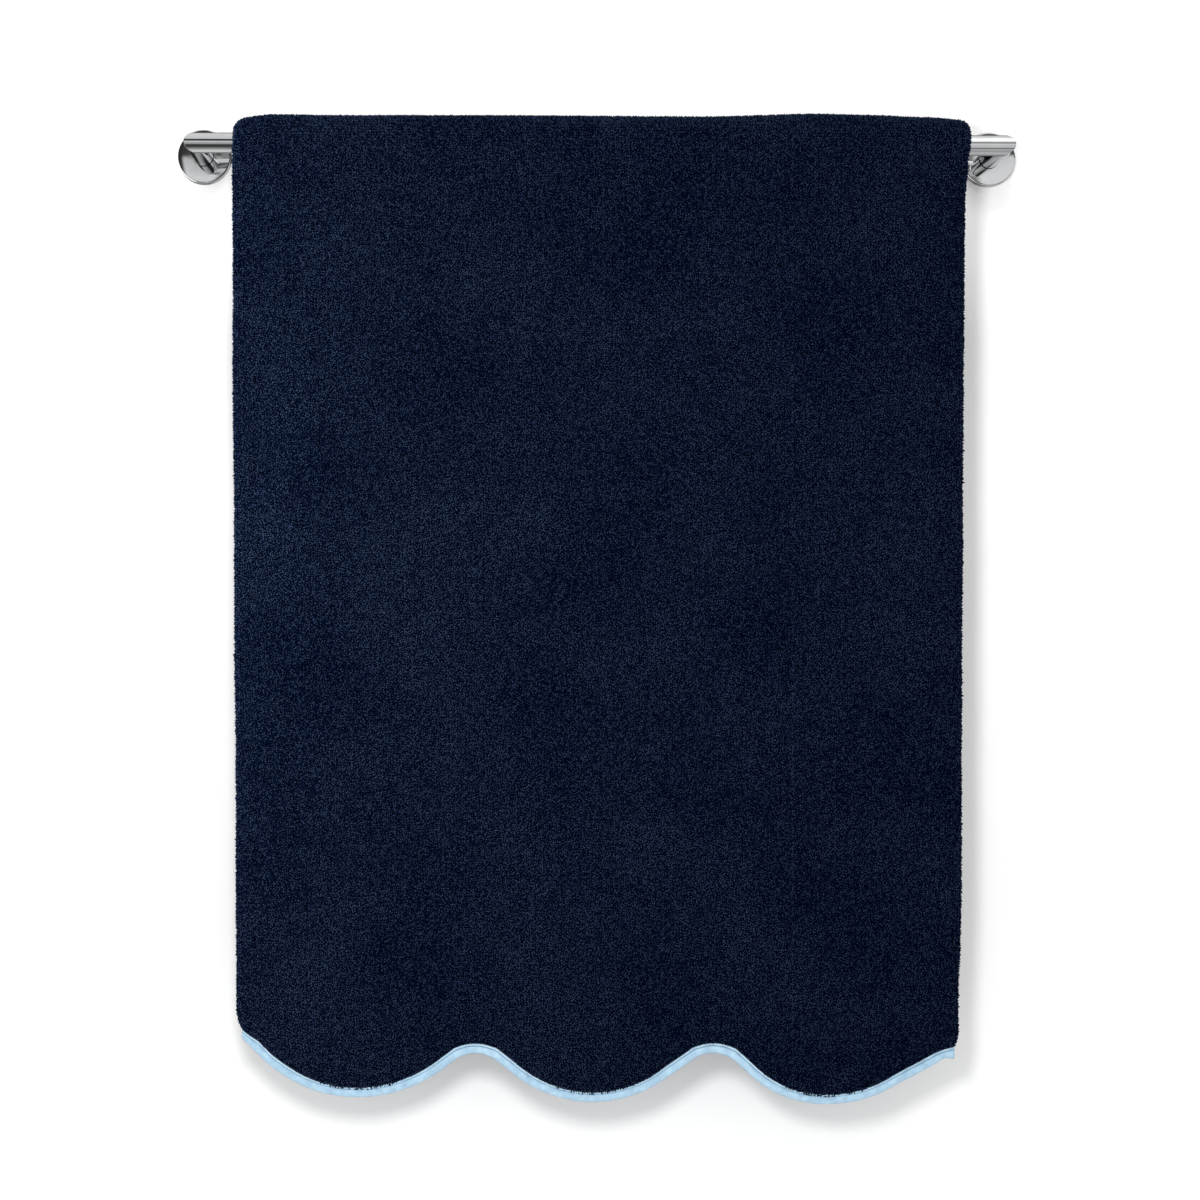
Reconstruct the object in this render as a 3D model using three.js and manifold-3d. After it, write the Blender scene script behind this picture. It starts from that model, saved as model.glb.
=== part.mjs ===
// Bath towel hung over a round towel rail. Millimetres, +Z up, the front of the towel faces -Y.
// The origin is on the wall plane, midway between the posts, at the height of the rail's axis.

import * as THREE from 'three';
import { mergeVertices } from 'three/addons/utils/BufferGeometryUtils.js';
import Module from 'manifold-3d';

const wasm = await Module();
wasm.setup();

// Rail sizes
const POST_SPACING = 762;
const TUBE_RADIUS = 9.5;
const WALL_TO_AXIS = 70;
const FLANGE_RADIUS = 26;
const FLANGE_THICKNESS = 10;
const FLANGE_EDGE_ROUND = 1.4;
const SOCKET_DEPTH = 6;
const SCREW_RADIUS = 1.6;
const SCREW_LENGTH = 5;
const SCREW_RECESS = 0.8;
const TUBE_SIDES = 32;
const FLANGE_SIDES = 48;
const FLANGE_EDGE_STEPS = 4;
const SCREW_SIDES = 12;

// Air between two pieces that touch in the real object
const GAP = 0.3;
const MITRE_GAP = GAP * Math.SQRT2;

// Terry sizes, with the pile counted in: the cloth is thicker over the rail, where its loops fan out
const TERRY_HALF = 5;
const TONGUE_HALF = 0.8;
const SEAT_RADIUS = TUBE_RADIUS + 0.5;
const MID_OFFSET = SEAT_RADIUS + TERRY_HALF;
const FRONT_END = -900;
const BACK_END_RAISED = 528;

// Binding sizes, measured in from the scalloped edge
const BAND_DEPTH = 9.5;
const BAND_HALF = 2.1;
const BAND_LIP_HALF = 2.45;
const TONGUE_START = 1.8;
const TONGUE_END_MARGIN = 0.5;
const CAVITY_REST = 0.2;
const SHOULDER_START = BAND_DEPTH + 2 * GAP;
const SHOULDER_SHELF = 0.1;
const SHOULDER_FLARE = 0.2;

// Section of one half of the folded tape, from its fold round the lip into the cavity
const BAND_SECTION = [
  { inset: 0.55, out: 1.35 },
  { inset: 4.3, out: BAND_HALF },
  { inset: 7.8, out: BAND_HALF - 0.2 },
  { inset: 8.6, out: BAND_LIP_HALF },
  { inset: BAND_DEPTH, out: BAND_HALF },
  { inset: BAND_DEPTH, out: TONGUE_HALF + GAP },
  { inset: TONGUE_START - GAP - CAVITY_REST, out: TONGUE_HALF + GAP },
];

// The binding narrows over this run at its left end, where it is tucked under the terry
const BAND_END_DEPTH = 0.66;
const BAND_END_RUN = 20;
const BAND_LEFT = -334.7;
const BAND_RIGHT = 330;

// Tips of the scalloped edge, crest and lobe in turn, with the radius of the round on each side.
// The first and last crests lie beyond the cloth, so only their flanks show.
const SCALLOP_TIPS = [
  { x: -370, z: -815, before: 33, after: 33 },
  { x: -227, z: -892, before: 128, after: 132 },
  { x: -118, z: -851.6, before: 33, after: 33 },
  { x: -8, z: -897.2, before: 118, after: 118 },
  { x: 103.5, z: -852.3, before: 33, after: 33 },
  { x: 210, z: -900.4, before: 105, after: 130 },
  { x: 342, z: -855.5, before: 60, after: 60 },
];

// Where the two side edges hang, down the front drop
const SIDE_EDGES = [
  { z: 30, left: -341.5, right: 344 },
  { z: 5, left: -342.8, right: 345.5 },
  { z: -22, left: -342.8, right: 341.6 },
  { z: -65, left: -342.8, right: 339 },
  { z: -150, left: -342.2, right: 338.2 },
  { z: -250, left: -342.2, right: 337.2 },
  { z: -380, left: -340.8, right: 336.4 },
  { z: -520, left: -340.2, right: 335.4 },
  { z: -640, left: -339.2, right: 335.2 },
  { z: -756, left: -339.2, right: 335.1 },
  { z: -812, left: -339.2, right: 334.2 },
  { z: -860, left: -338.6, right: 332 },
];

// Height of the crown of the cloth above the rail's axis, from left to right
const CROWN_TOPS = [
  { x: -345, top: 26 },
  { x: -312, top: 27.6 },
  { x: -245, top: 26.4 },
  { x: -95, top: 27 },
  { x: 93, top: 26.5 },
  { x: 205, top: 29.5 },
  { x: 250, top: 28.6 },
  { x: 304, top: 26.8 },
  { x: 346, top: 24 },
];

// How far each drop leans away from the rail, by its height
const LEANS = [
  { z: 0, out: 0 },
  { z: -70, out: -1.4 },
  { z: -220, out: 0.2 },
  { z: -460, out: 1.8 },
  { z: -700, out: 0.4 },
  { z: -900, out: 2.6 },
];

// Below the rail the cloth is free to swell only after this run
const SETTLING_RUN = 60;

// Soft swells and hollows of the hanging cloth: centre, reach across and along, and how far out
const SWELLS = [
  { x: -60, z: -120, across: 110, along: 55, out: 1.3 },
  { x: 165, z: -125, across: 85, along: 60, out: -1.6 },
  { x: -200, z: -250, across: 80, along: 70, out: 2 },
  { x: 205, z: -300, across: 70, along: 85, out: -1.8 },
  { x: 40, z: -370, across: 90, along: 75, out: 2.5 },
  { x: -130, z: -420, across: 70, along: 65, out: -1.8 },
  { x: -300, z: -480, across: 60, along: 120, out: 2.4 },
  { x: 100, z: -560, across: 75, along: 80, out: -2.2 },
  { x: 250, z: -630, across: 70, along: 110, out: 2.2 },
  { x: -210, z: -650, across: 80, along: 70, out: 1.6 },
  { x: 50, z: -710, across: 90, along: 50, out: 1.8 },
  { x: -275, z: -775, across: 55, along: 50, out: -1.8 },
  { x: -125, z: -800, across: 70, along: 55, out: 2 },
  { x: 265, z: -815, across: 60, along: 60, out: -2 },
];

// Points closer than this are one point
const MERGE_DISTANCE = 1e-4;

// Steps of the cloth's mesh
const FLANK_STOPS = [0, 0.13, 0.27, 0.45, 0.64, 0.82];
const SIDE_ROUND = 9;
const SIDE_STOPS = [0, 1.4, 4.2, SIDE_ROUND];
const SIDE_THINNEST = 0.3;
const SIDE_MARGIN = 6;
const FRONT_STEPS = 19;
const BACK_STEPS = 7;
const CROWN_STEPS = 12;

// Rows at a scalloped end: distance in from the edge, and half the thickness there
const END_ROWS = [
  { inset: TONGUE_START, half: TONGUE_HALF },
  { inset: SHOULDER_START, half: TONGUE_HALF },
  { inset: SHOULDER_START + SHOULDER_SHELF, half: 2.9 },
  { inset: 14, half: 4.2 },
  { inset: 22, half: TERRY_HALF },
];

const FRONT = { direction: -1, raised: 0, endsAt: FRONT_END };
const BACK = { direction: 1, raised: BACK_END_RAISED, endsAt: FRONT_END + BACK_END_RAISED };

const materials = {
  terry: new THREE.MeshStandardMaterial({ color: 0x0f1a33, roughness: 1, metalness: 0 }),
  binding: new THREE.MeshStandardMaterial({ color: 0xb3d4eb, roughness: 0.85, metalness: 0 }),
  chrome: new THREE.MeshStandardMaterial({ color: 0xe6e8ea, roughness: 0.08, metalness: 1 }),
};

// Value of a named column of a table, eased from one row to the next along the key column
function lookUp(table, key, column, at) {
  const rising = table[0][key] < table[table.length - 1][key] ? 1 : -1;
  const next = table.findIndex((row) => (row[key] - at) * rising >= 0);
  if (next === 0) return table[0][column];
  if (next === -1) return table[table.length - 1][column];
  const from = table[next - 1];
  const to = table[next];
  const share = (at - from[key]) / (to[key] - from[key]);
  return THREE.MathUtils.lerp(from[column], to[column], THREE.MathUtils.smoothstep(share, 0, 1));
}

// The flank between a crest and a lobe: a round, a straight line that touches both, a round
function flank(crest, lobe, crestRadius, lobeRadius) {
  const run = Math.abs(lobe.x - crest.x);
  const fall = crest.z - lobe.z;
  const rounds = crestRadius + lobeRadius;
  const straight = Math.sqrt(Math.max(run ** 2 + (rounds - fall) ** 2 - rounds ** 2, 0));
  const angle = Math.atan2(rounds, straight) - Math.atan2(rounds - fall, run);
  return { crest, lobe, crestRadius, lobeRadius, run, angle };
}

function flankAt(x) {
  const index = Math.max(SCALLOP_TIPS.findIndex((tip) => tip.x >= x), 1);
  const before = SCALLOP_TIPS[index - 1];
  const after = SCALLOP_TIPS[index];
  if (before.z > after.z) return flank(before, after, before.after, after.before);
  return flank(after, before, after.before, before.after);
}

// Height and steepness of the front end's scalloped edge at x
function edgeAt(x) {
  const { crest, lobe, crestRadius, lobeRadius, run, angle } = flankAt(x);
  const fromCrest = Math.abs(x - crest.x);
  const fromLobe = run - fromCrest;
  if (fromCrest < crestRadius * Math.sin(angle)) {
    const rise = Math.sqrt(crestRadius ** 2 - fromCrest ** 2);
    return { z: crest.z - crestRadius + rise, stretch: crestRadius / rise };
  }
  if (fromLobe < lobeRadius * Math.sin(angle)) {
    const drop = Math.sqrt(lobeRadius ** 2 - fromLobe ** 2);
    return { z: lobe.z + lobeRadius - drop, stretch: lobeRadius / drop };
  }
  const crestEnd = crestRadius * (1 - Math.cos(angle));
  const down = crestEnd + (fromCrest - crestRadius * Math.sin(angle)) * Math.tan(angle);
  return { z: crest.z - down, stretch: 1 / Math.cos(angle) };
}

// Height of a point that lies a given distance in from the scalloped edge of a drop
function insetHeight(drop, x, inset) {
  const edge = edgeAt(x);
  const narrowing = THREE.MathUtils.smoothstep(x - BAND_LEFT, 0, BAND_END_RUN);
  const depth = THREE.MathUtils.lerp(BAND_END_DEPTH, 1, narrowing);
  return edge.z + drop.raised + inset * depth * edge.stretch;
}

// How far the middle of a drop stands out from the rail's axis
function standOff(drop, x, z) {
  const settled = THREE.MathUtils.smoothstep(-z, 0, SETTLING_RUN);
  const swell = SWELLS.reduce((sum, { x: cx, z: cz, across, along, out }) => {
    const dx = (x - cx) / across;
    const dz = (z - cz) / along;
    return sum + out * Math.exp(-dx * dx - dz * dz);
  }, 0);
  return MID_OFFSET + lookUp(LEANS, 'z', 'out', z) + swell * settled;
}

// The same at the bound edge, where tongue and binding share one middle
function edgeStandOff(drop, x) {
  return standOff(drop, x, insetHeight(drop, x, TONGUE_START));
}

// Columns between the rounded side edges, close together where the scallops turn
function innerColumns() {
  const columns = [];
  for (let index = 1; index < SCALLOP_TIPS.length; index += 1) {
    const before = SCALLOP_TIPS[index - 1];
    const after = SCALLOP_TIPS[index];
    const down = before.z > after.z;
    const stops = down ? FLANK_STOPS : FLANK_STOPS.slice(1).map((stop) => 1 - stop).reverse();
    if (!down) stops.unshift(0);
    stops.forEach((stop) => columns.push(THREE.MathUtils.lerp(before.x, after.x, stop)));
  }
  const margin = SIDE_ROUND + SIDE_MARGIN;
  return columns.filter((x) => x > BAND_LEFT + margin && x < BAND_RIGHT - margin);
}

const INNER_COLUMNS = innerColumns();
const COLUMN_COUNT = INNER_COLUMNS.length + 2 * SIDE_STOPS.length;

// Place and relative thickness of a column of the cloth, between a left and a right side edge
function columnAt(column, left, right) {
  const fromRight = COLUMN_COUNT - 1 - column;
  const inner = column - SIDE_STOPS.length;
  const atSide = Math.min(column, fromRight);
  if (atSide >= SIDE_STOPS.length) return { x: INNER_COLUMNS[inner], round: 1 };
  const stop = SIDE_STOPS[atSide];
  const round = Math.max(Math.sqrt(1 - (1 - stop / SIDE_ROUND) ** 2), SIDE_THINNEST);
  return { x: column < fromRight ? left + stop : right - stop, round };
}

// A point at a given distance out from the rail's axis, on the side where the drop hangs
function dropPoint(drop, x, z, distance) {
  return new THREE.Vector3(x, -WALL_TO_AXIS + drop.direction * distance, z);
}

// One row of the cloth at a scalloped end: out is 1 on the outer face, -1 on the face to the rail
function endRow(drop, { inset, half }) {
  const bound = inset <= SHOULDER_START;
  return (column, out) => {
    const widening = bound ? -TONGUE_END_MARGIN : inset * SHOULDER_FLARE;
    const left = BAND_LEFT - widening;
    const right = BAND_RIGHT + widening;
    const { x, round } = columnAt(column, left, right);
    const z = insetHeight(drop, x, inset);
    const standing = bound ? edgeStandOff(drop, x) : standOff(drop, x, z);
    return dropPoint(drop, x, z, standing + out * (bound ? half : half * round));
  };
}

// One row of the cloth between the scalloped end and the rail
function dropRow(drop, share) {
  const lastInset = END_ROWS[END_ROWS.length - 1].inset;
  return (column, out) => {
    const nominal = drop.endsAt * share;
    const left = lookUp(SIDE_EDGES, 'z', 'left', nominal);
    const right = lookUp(SIDE_EDGES, 'z', 'right', nominal);
    const { x, round } = columnAt(column, left, right);
    const z = insetHeight(drop, x, lastInset) * share;
    return dropPoint(drop, x, z, standOff(drop, x, z) + out * TERRY_HALF * round);
  };
}

// One row of the cloth over the rail, at an angle from the front of the tube over its top
function crownRow(angle) {
  return (column, out) => {
    const level = SEAT_RADIUS * Math.sin(angle);
    const left = lookUp(SIDE_EDGES, 'z', 'left', level);
    const right = lookUp(SIDE_EDGES, 'z', 'right', level);
    const { x, round } = columnAt(column, left, right);
    const loft = lookUp(CROWN_TOPS, 'x', 'top', x) - SEAT_RADIUS;
    const thickness = THREE.MathUtils.lerp(2 * TERRY_HALF, loft, Math.sin(angle) ** 2);
    const sideRound = THREE.MathUtils.lerp(round, Math.sqrt(round), Math.sin(angle));
    const radius = SEAT_RADIUS + (out > 0 ? thickness * sideRound : 0);
    return dropPoint(FRONT, x, radius * Math.sin(angle), radius * Math.cos(angle));
  };
}

// All rows of the cloth, from the back end over the rail to the front end
function clothRows() {
  const rows = END_ROWS.map((row) => endRow(BACK, row));
  for (let step = BACK_STEPS - 1; step > 0; step -= 1) rows.push(dropRow(BACK, step / BACK_STEPS));
  for (let step = 0; step <= CROWN_STEPS; step += 1) rows.push(crownRow(Math.PI * (1 - step / CROWN_STEPS)));
  for (let step = 1; step < FRONT_STEPS; step += 1) rows.push(dropRow(FRONT, step / FRONT_STEPS));
  END_ROWS.slice().reverse().forEach((row) => rows.push(endRow(FRONT, row)));
  return rows;
}

// Moves every vertex of a geometry and leaves only its merged positions
function reshape(geometry, place) {
  const position = geometry.getAttribute('position');
  const point = new THREE.Vector3();
  for (let index = 0; index < position.count; index += 1) {
    const moved = place(point.fromBufferAttribute(position, index));
    position.setXYZ(index, moved.x, moved.y, moved.z);
  }
  geometry.deleteAttribute('normal');
  geometry.deleteAttribute('uv');
  return mergeVertices(geometry, MERGE_DISTANCE);
}

// The towel's cloth: a thin box in many steps, bent over the rail
function terryGeometry() {
  const rows = clothRows();
  const columnSteps = COLUMN_COUNT - 1;
  const rowSteps = rows.length - 1;
  const box = new THREE.BoxGeometry(1, 1, 1, columnSteps, 1, rowSteps);
  return reshape(box, ({ x, y, z }) => {
    const column = Math.round((x + 0.5) * columnSteps);
    const row = Math.round((z + 0.5) * rowSteps);
    return rows[row](column, Math.sign(y));
  });
}

// The whole section of the folded tape
function bandSection() {
  const shape = new THREE.Shape();
  shape.moveTo(0, 0);
  BAND_SECTION.forEach(({ inset, out }) => shape.lineTo(inset, out));
  BAND_SECTION.slice().reverse().forEach(({ inset, out }) => shape.lineTo(inset, -out));
  return shape;
}

// The binding of one end: the section carried along the scallops, on the cloth's own columns
function bindingGeometry(drop) {
  const steps = COLUMN_COUNT - 1;
  const strip = new THREE.ExtrudeGeometry(bandSection(), { depth: 1, steps, bevelEnabled: false });
  return reshape(strip, ({ x: inset, y: out, z: along }) => {
    const step = Math.round(along * steps);
    const column = drop.direction < 0 ? step : steps - step;
    const { x } = columnAt(column, BAND_LEFT, BAND_RIGHT);
    return dropPoint(drop, x, insetHeight(drop, x, inset), edgeStandOff(drop, x) + out);
  });
}

// A tube along X whose ends are cut square or at 45 degrees, longest on the side away from the wall
function mitredTube(length, mitres) {
  const tube = new THREE.CylinderGeometry(TUBE_RADIUS, TUBE_RADIUS, 1, TUBE_SIDES, 1);
  tube.rotateZ(-Math.PI / 2);
  return reshape(tube, ({ x, y, z }) => {
    const end = Math.sign(x);
    const mitred = end < 0 ? mitres.start : mitres.finish;
    return new THREE.Vector3(end * (length / 2 - (mitred ? y : 0)), y, z);
  });
}

function toSolid(geometry) {
  const bare = geometry.clone();
  bare.deleteAttribute('normal');
  bare.deleteAttribute('uv');
  const merged = mergeVertices(bare, MERGE_DISTANCE);
  return new wasm.Manifold(new wasm.Mesh({
    numProp: 3,
    vertProperties: Float32Array.from(merged.getAttribute('position').array),
    triVerts: Uint32Array.from(merged.getIndex().array),
  }));
}

function toGeometry(solid) {
  const { vertProperties, triVerts } = solid.getMesh();
  const geometry = new THREE.BufferGeometry();
  geometry.setAttribute('position', new THREE.Float32BufferAttribute(vertProperties, 3));
  geometry.setIndex(new THREE.Uint32BufferAttribute(triVerts, 1));
  return geometry;
}

// A wall flange about its own axis: back face on the wall plane, a socket in front, a hole for the screw
function flangeGeometry() {
  const front = FLANGE_THICKNESS;
  const round = FLANGE_EDGE_ROUND;
  const corner = new THREE.Path();
  corner.absarc(FLANGE_RADIUS - round, front - round, round, 0, Math.PI / 2, false);
  const profile = [
    new THREE.Vector2(0, 0),
    new THREE.Vector2(FLANGE_RADIUS, 0),
    ...corner.getPoints(FLANGE_EDGE_STEPS),
    new THREE.Vector2(0, front),
  ];
  const disc = new THREE.LatheGeometry(profile, FLANGE_SIDES);
  const bore = new THREE.CylinderGeometry(
    TUBE_RADIUS + GAP, TUBE_RADIUS + GAP, 2 * SOCKET_DEPTH, TUBE_SIDES);
  bore.translate(0, front, 0);
  const holeDepth = SCREW_RECESS + SCREW_LENGTH + GAP;
  const hole = new THREE.CylinderGeometry(
    SCREW_RADIUS + GAP, SCREW_RADIUS + GAP, 2 * holeDepth, SCREW_SIDES);
  hole.rotateX(Math.PI / 2);
  hole.translate(0, front / 2, FLANGE_RADIUS);
  const cut = toSolid(disc).subtract(toSolid(bore)).subtract(toSolid(hole));
  const geometry = toGeometry(cut);
  geometry.rotateX(Math.PI);
  return geometry;
}

function screwGeometry() {
  const screw = new THREE.CylinderGeometry(SCREW_RADIUS, SCREW_RADIUS, SCREW_LENGTH, SCREW_SIDES);
  screw.rotateX(Math.PI / 2);
  return screw;
}

function piece(name, geometry, material) {
  const mesh = new THREE.Mesh(geometry, material);
  mesh.name = name;
  return mesh;
}

// The wall side of one end of the rail: post, flange and set screw
function wallEnd(side, label) {
  const end = new THREE.Group();
  end.position.x = side * POST_SPACING / 2;

  const postBack = -FLANGE_THICKNESS + SOCKET_DEPTH - GAP;
  const postLength = WALL_TO_AXIS + postBack - MITRE_GAP / 2;
  const tube = mitredTube(postLength, { start: false, finish: true });
  const post = piece(`post_${label}`, tube, materials.chrome);
  post.rotation.z = -Math.PI / 2;
  if (side > 0) post.rotation.y = Math.PI;
  post.position.y = postBack - postLength / 2;

  const flange = piece(`flange_${label}`, flangeGeometry(), materials.chrome);
  const screw = piece(`grub_screw_${label}`, screwGeometry(), materials.chrome);
  screw.position.set(0, -FLANGE_THICKNESS / 2, SCREW_RECESS + SCREW_LENGTH / 2 - FLANGE_RADIUS);
  end.add(post, flange, screw);
  return end;
}

function railTube() {
  const tube = mitredTube(POST_SPACING - MITRE_GAP, { start: true, finish: true });
  const rail = piece('rail_tube', tube, materials.chrome);
  rail.position.y = -WALL_TO_AXIS;
  return rail;
}

const towelOnRail = new THREE.Group();
towelOnRail.add(
  piece('towel_terry', terryGeometry(), materials.terry),
  piece('binding_front', bindingGeometry(FRONT), materials.binding),
  piece('binding_back', bindingGeometry(BACK), materials.binding),
  railTube(),
  wallEnd(-1, 'left'),
  wallEnd(1, 'right'),
);

export default towelOnRail;
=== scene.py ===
"""Bath towel hung over a round towel rail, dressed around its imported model.

The navy cloth is loop terry with its loops built one by one, both scalloped ends are bound in pale
blue tape, and the rail is polished chrome. Sizes are in millimetres unless a name says otherwise.
"""

import logging
import math
from dataclasses import dataclass, field
from enum import Enum
from typing import Any, Sequence

import bmesh
import bpy
import numpy as np
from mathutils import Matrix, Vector


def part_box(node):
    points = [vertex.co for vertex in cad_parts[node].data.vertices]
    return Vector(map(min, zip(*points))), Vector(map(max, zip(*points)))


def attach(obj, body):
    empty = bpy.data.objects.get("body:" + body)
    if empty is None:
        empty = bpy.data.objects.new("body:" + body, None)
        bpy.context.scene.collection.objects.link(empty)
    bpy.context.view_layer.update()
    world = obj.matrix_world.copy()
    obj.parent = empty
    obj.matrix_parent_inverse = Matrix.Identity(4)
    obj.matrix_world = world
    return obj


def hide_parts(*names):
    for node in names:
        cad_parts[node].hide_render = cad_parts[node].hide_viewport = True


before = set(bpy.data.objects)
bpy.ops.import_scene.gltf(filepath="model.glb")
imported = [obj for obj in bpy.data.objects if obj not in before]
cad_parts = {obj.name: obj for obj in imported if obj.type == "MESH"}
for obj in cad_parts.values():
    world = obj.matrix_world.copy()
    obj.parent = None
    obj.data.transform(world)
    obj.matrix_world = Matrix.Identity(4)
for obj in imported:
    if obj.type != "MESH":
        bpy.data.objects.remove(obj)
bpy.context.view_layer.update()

LOG = logging.getLogger("towel")
MM = 0.001
BODY = "root"
SHARP_ANGLE = math.radians(30)

Colour = tuple[float, float, float]


class Drop(Enum):
    """The two hanging parts of the cloth; the value is the way out from the rail along Y."""

    FRONT = -1
    BACK = 1


class RowKind(Enum):
    """What a row of the cloth runs along."""

    END = "scalloped end"
    HANG = "hanging part"
    CROWN = "over the rail"


class Face(Enum):
    """The two faces of the cloth; the value is the way out from its middle."""

    OUTER = 1
    INNER = -1


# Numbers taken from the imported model


@dataclass(frozen=True)
class RailSizes:
    """Sizes of the rail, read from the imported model's boxes."""

    tube_radius: float
    wall_to_axis: float
    post_x: float
    flange_radius: float
    flange_thickness: float
    screw_radius: float
    screw_low: float
    screw_high: float

    @classmethod
    def from_frame(cls) -> "RailSizes":
        """Measures the rail's nodes.

        Returns:
            The sizes, in millimetres.
        """
        rail_low, rail_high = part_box("rail_tube")
        flange_low, flange_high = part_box("flange_right")
        screw_low, screw_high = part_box("grub_screw_right")
        return cls(
            tube_radius=(rail_high.z - rail_low.z) / 2 / MM,
            wall_to_axis=-(rail_high.y + rail_low.y) / 2 / MM,
            post_x=(flange_low.x + flange_high.x) / 2 / MM,
            flange_radius=(flange_high.x - flange_low.x) / 2 / MM,
            flange_thickness=(flange_high.y - flange_low.y) / MM,
            screw_radius=(screw_high.x - screw_low.x) / 2 / MM,
            screw_low=screw_low.z / MM,
            screw_high=screw_high.z / MM,
        )


# Tables of the cloth's form, a row for each place


@dataclass(frozen=True)
class Tip:
    """A crest or lobe of the scalloped edge, with the radius of its round on each side."""

    x: float
    z: float
    before: float
    after: float


@dataclass(frozen=True)
class SideEdge:
    """Where the two side edges hang at one height."""

    z: float
    left: float
    right: float


@dataclass(frozen=True)
class CrownPoint:
    """Height of the cloth's top at one place over the rail."""

    x: float
    top: float


@dataclass(frozen=True)
class Lean:
    """How far the cloth leans out from the plumb line at one height."""

    z: float
    out: float


@dataclass(frozen=True)
class Swell:
    """A soft swell or hollow of the hanging cloth."""

    x: float
    z: float
    across: float
    along: float
    out: float


TIPS = (
    Tip(-370, -815, 33, 33),
    Tip(-227, -892, 128, 132),
    Tip(-118, -851.6, 33, 33),
    Tip(-8, -897.2, 118, 118),
    Tip(103.5, -852.3, 33, 33),
    Tip(210, -900.4, 105, 130),
    Tip(342, -855.5, 60, 60),
)

SIDE_EDGES = (
    SideEdge(-860, -338.6, 332),
    SideEdge(-812, -339.2, 334.2),
    SideEdge(-756, -339.2, 335.1),
    SideEdge(-640, -339.2, 335.2),
    SideEdge(-520, -340.2, 335.4),
    SideEdge(-380, -340.8, 336.4),
    SideEdge(-250, -342.2, 337.2),
    SideEdge(-150, -342.2, 338.2),
    SideEdge(-65, -342.8, 339),
    SideEdge(-22, -342.8, 341.6),
    SideEdge(5, -342.8, 345.5),
    SideEdge(30, -341.5, 344),
)

CROWN = (
    CrownPoint(-345, 21.5),
    CrownPoint(-330, 24.4),
    CrownPoint(-312, 27.2),
    CrownPoint(-245, 26.6),
    CrownPoint(-95, 27),
    CrownPoint(93, 26.5),
    CrownPoint(205, 29.5),
    CrownPoint(250, 28.6),
    CrownPoint(304, 26.8),
    CrownPoint(346, 24),
)

LEANS = (
    Lean(-900, 2.6),
    Lean(-700, 0.4),
    Lean(-460, 1.8),
    Lean(-220, 0.2),
    Lean(-70, -1.4),
    Lean(0, 0),
)

SWELLS = (
    Swell(-60, -120, 110, 55, 1.3),
    Swell(165, -125, 85, 60, -1.6),
    Swell(-200, -250, 80, 70, 2),
    Swell(205, -300, 70, 85, -1.8),
    Swell(40, -370, 90, 75, 2.5),
    Swell(-130, -420, 70, 65, -1.8),
    Swell(-300, -480, 60, 120, 2.4),
    Swell(100, -560, 75, 80, -2.2),
    Swell(250, -630, 70, 110, 2.2),
    Swell(-210, -650, 80, 70, 1.6),
    Swell(50, -710, 90, 50, 1.8),
    Swell(-275, -775, 55, 50, -1.8),
    Swell(-125, -800, 70, 55, 2),
    Swell(265, -815, 60, 60, -2),
)

TAPE_STEPS = {Drop.FRONT: 1.6, Drop.BACK: 3.2}


def eased(at: np.ndarray, keys: Sequence[float], values: Sequence[float]) -> np.ndarray:
    """Looks values up between rows, easing from each row to the next.

    Args:
        at: Where to look.
        keys: Rising keys of the rows.
        values: One value for each row.

    Returns:
        The value at each place.
    """
    at = np.clip(np.asarray(at, float), keys[0], keys[-1])
    after = np.clip(np.searchsorted(keys, at), 1, len(keys) - 1)
    low, high = np.take(keys, after - 1), np.take(keys, after)
    share = (at - low) / (high - low)
    ease = share * share * (3 - 2 * share)
    first, second = np.take(values, after - 1), np.take(values, after)
    return first + (second - first) * ease


class ScallopEdge:
    """The scalloped edge of the front end: rounds joined by straight flanks."""

    STEP = 0.25

    def __init__(self, tips: Sequence[Tip]) -> None:
        """Samples the edge closely.

        Args:
            tips: Crests and lobes in turn, from left to right, starting with a crest.
        """
        self.x = np.arange(tips[0].x, tips[-1].x, self.STEP)
        self.z = np.concatenate([self._stretch(tips, index) for index in range(1, len(tips))])
        slope = np.gradient(self.z, self.STEP)
        self.widening = np.sqrt(1 + slope**2)

    def _stretch(self, tips: Sequence[Tip], index: int) -> np.ndarray:
        """Works out the heights between one tip and the next.

        Args:
            tips: The table of tips.
            index: Which tip the stretch ends at.

        Returns:
            The heights at the samples of this stretch.
        """
        first, second = tips[index - 1], tips[index]
        inside = self.x[(self.x >= first.x) & (self.x < second.x)]
        if first.z > second.z:
            crest, lobe, crest_round, lobe_round = first, second, first.after, second.before
        else:
            crest, lobe, crest_round, lobe_round = second, first, second.before, first.after
        run = abs(lobe.x - crest.x)
        rounds = crest_round + lobe_round
        rest = rounds - (crest.z - lobe.z)
        straight = math.sqrt(max(run**2 + rest**2 - rounds**2, 0))
        angle = math.atan2(rounds, straight) - math.atan2(rest, run)
        from_crest = np.abs(inside - crest.x)
        from_lobe = run - from_crest
        on_crest = np.minimum(from_crest, crest_round * math.sin(angle))
        on_lobe = np.minimum(from_lobe, lobe_round * math.sin(angle))
        crest_z = crest.z - crest_round + np.sqrt(crest_round**2 - on_crest**2)
        lobe_z = lobe.z + lobe_round - np.sqrt(lobe_round**2 - on_lobe**2)
        along = crest_z - (from_crest - on_crest) * math.tan(angle)
        return np.where(from_lobe < lobe_round * math.sin(angle), lobe_z, along)

    def height(self, x: np.ndarray) -> np.ndarray:
        """Height of the edge at x."""
        return np.interp(x, self.x, self.z)

    def stretch_at(self, x: np.ndarray) -> np.ndarray:
        """How much longer a vertical way into the cloth is than a square one, at x."""
        return np.interp(x, self.x, self.widening)


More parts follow.
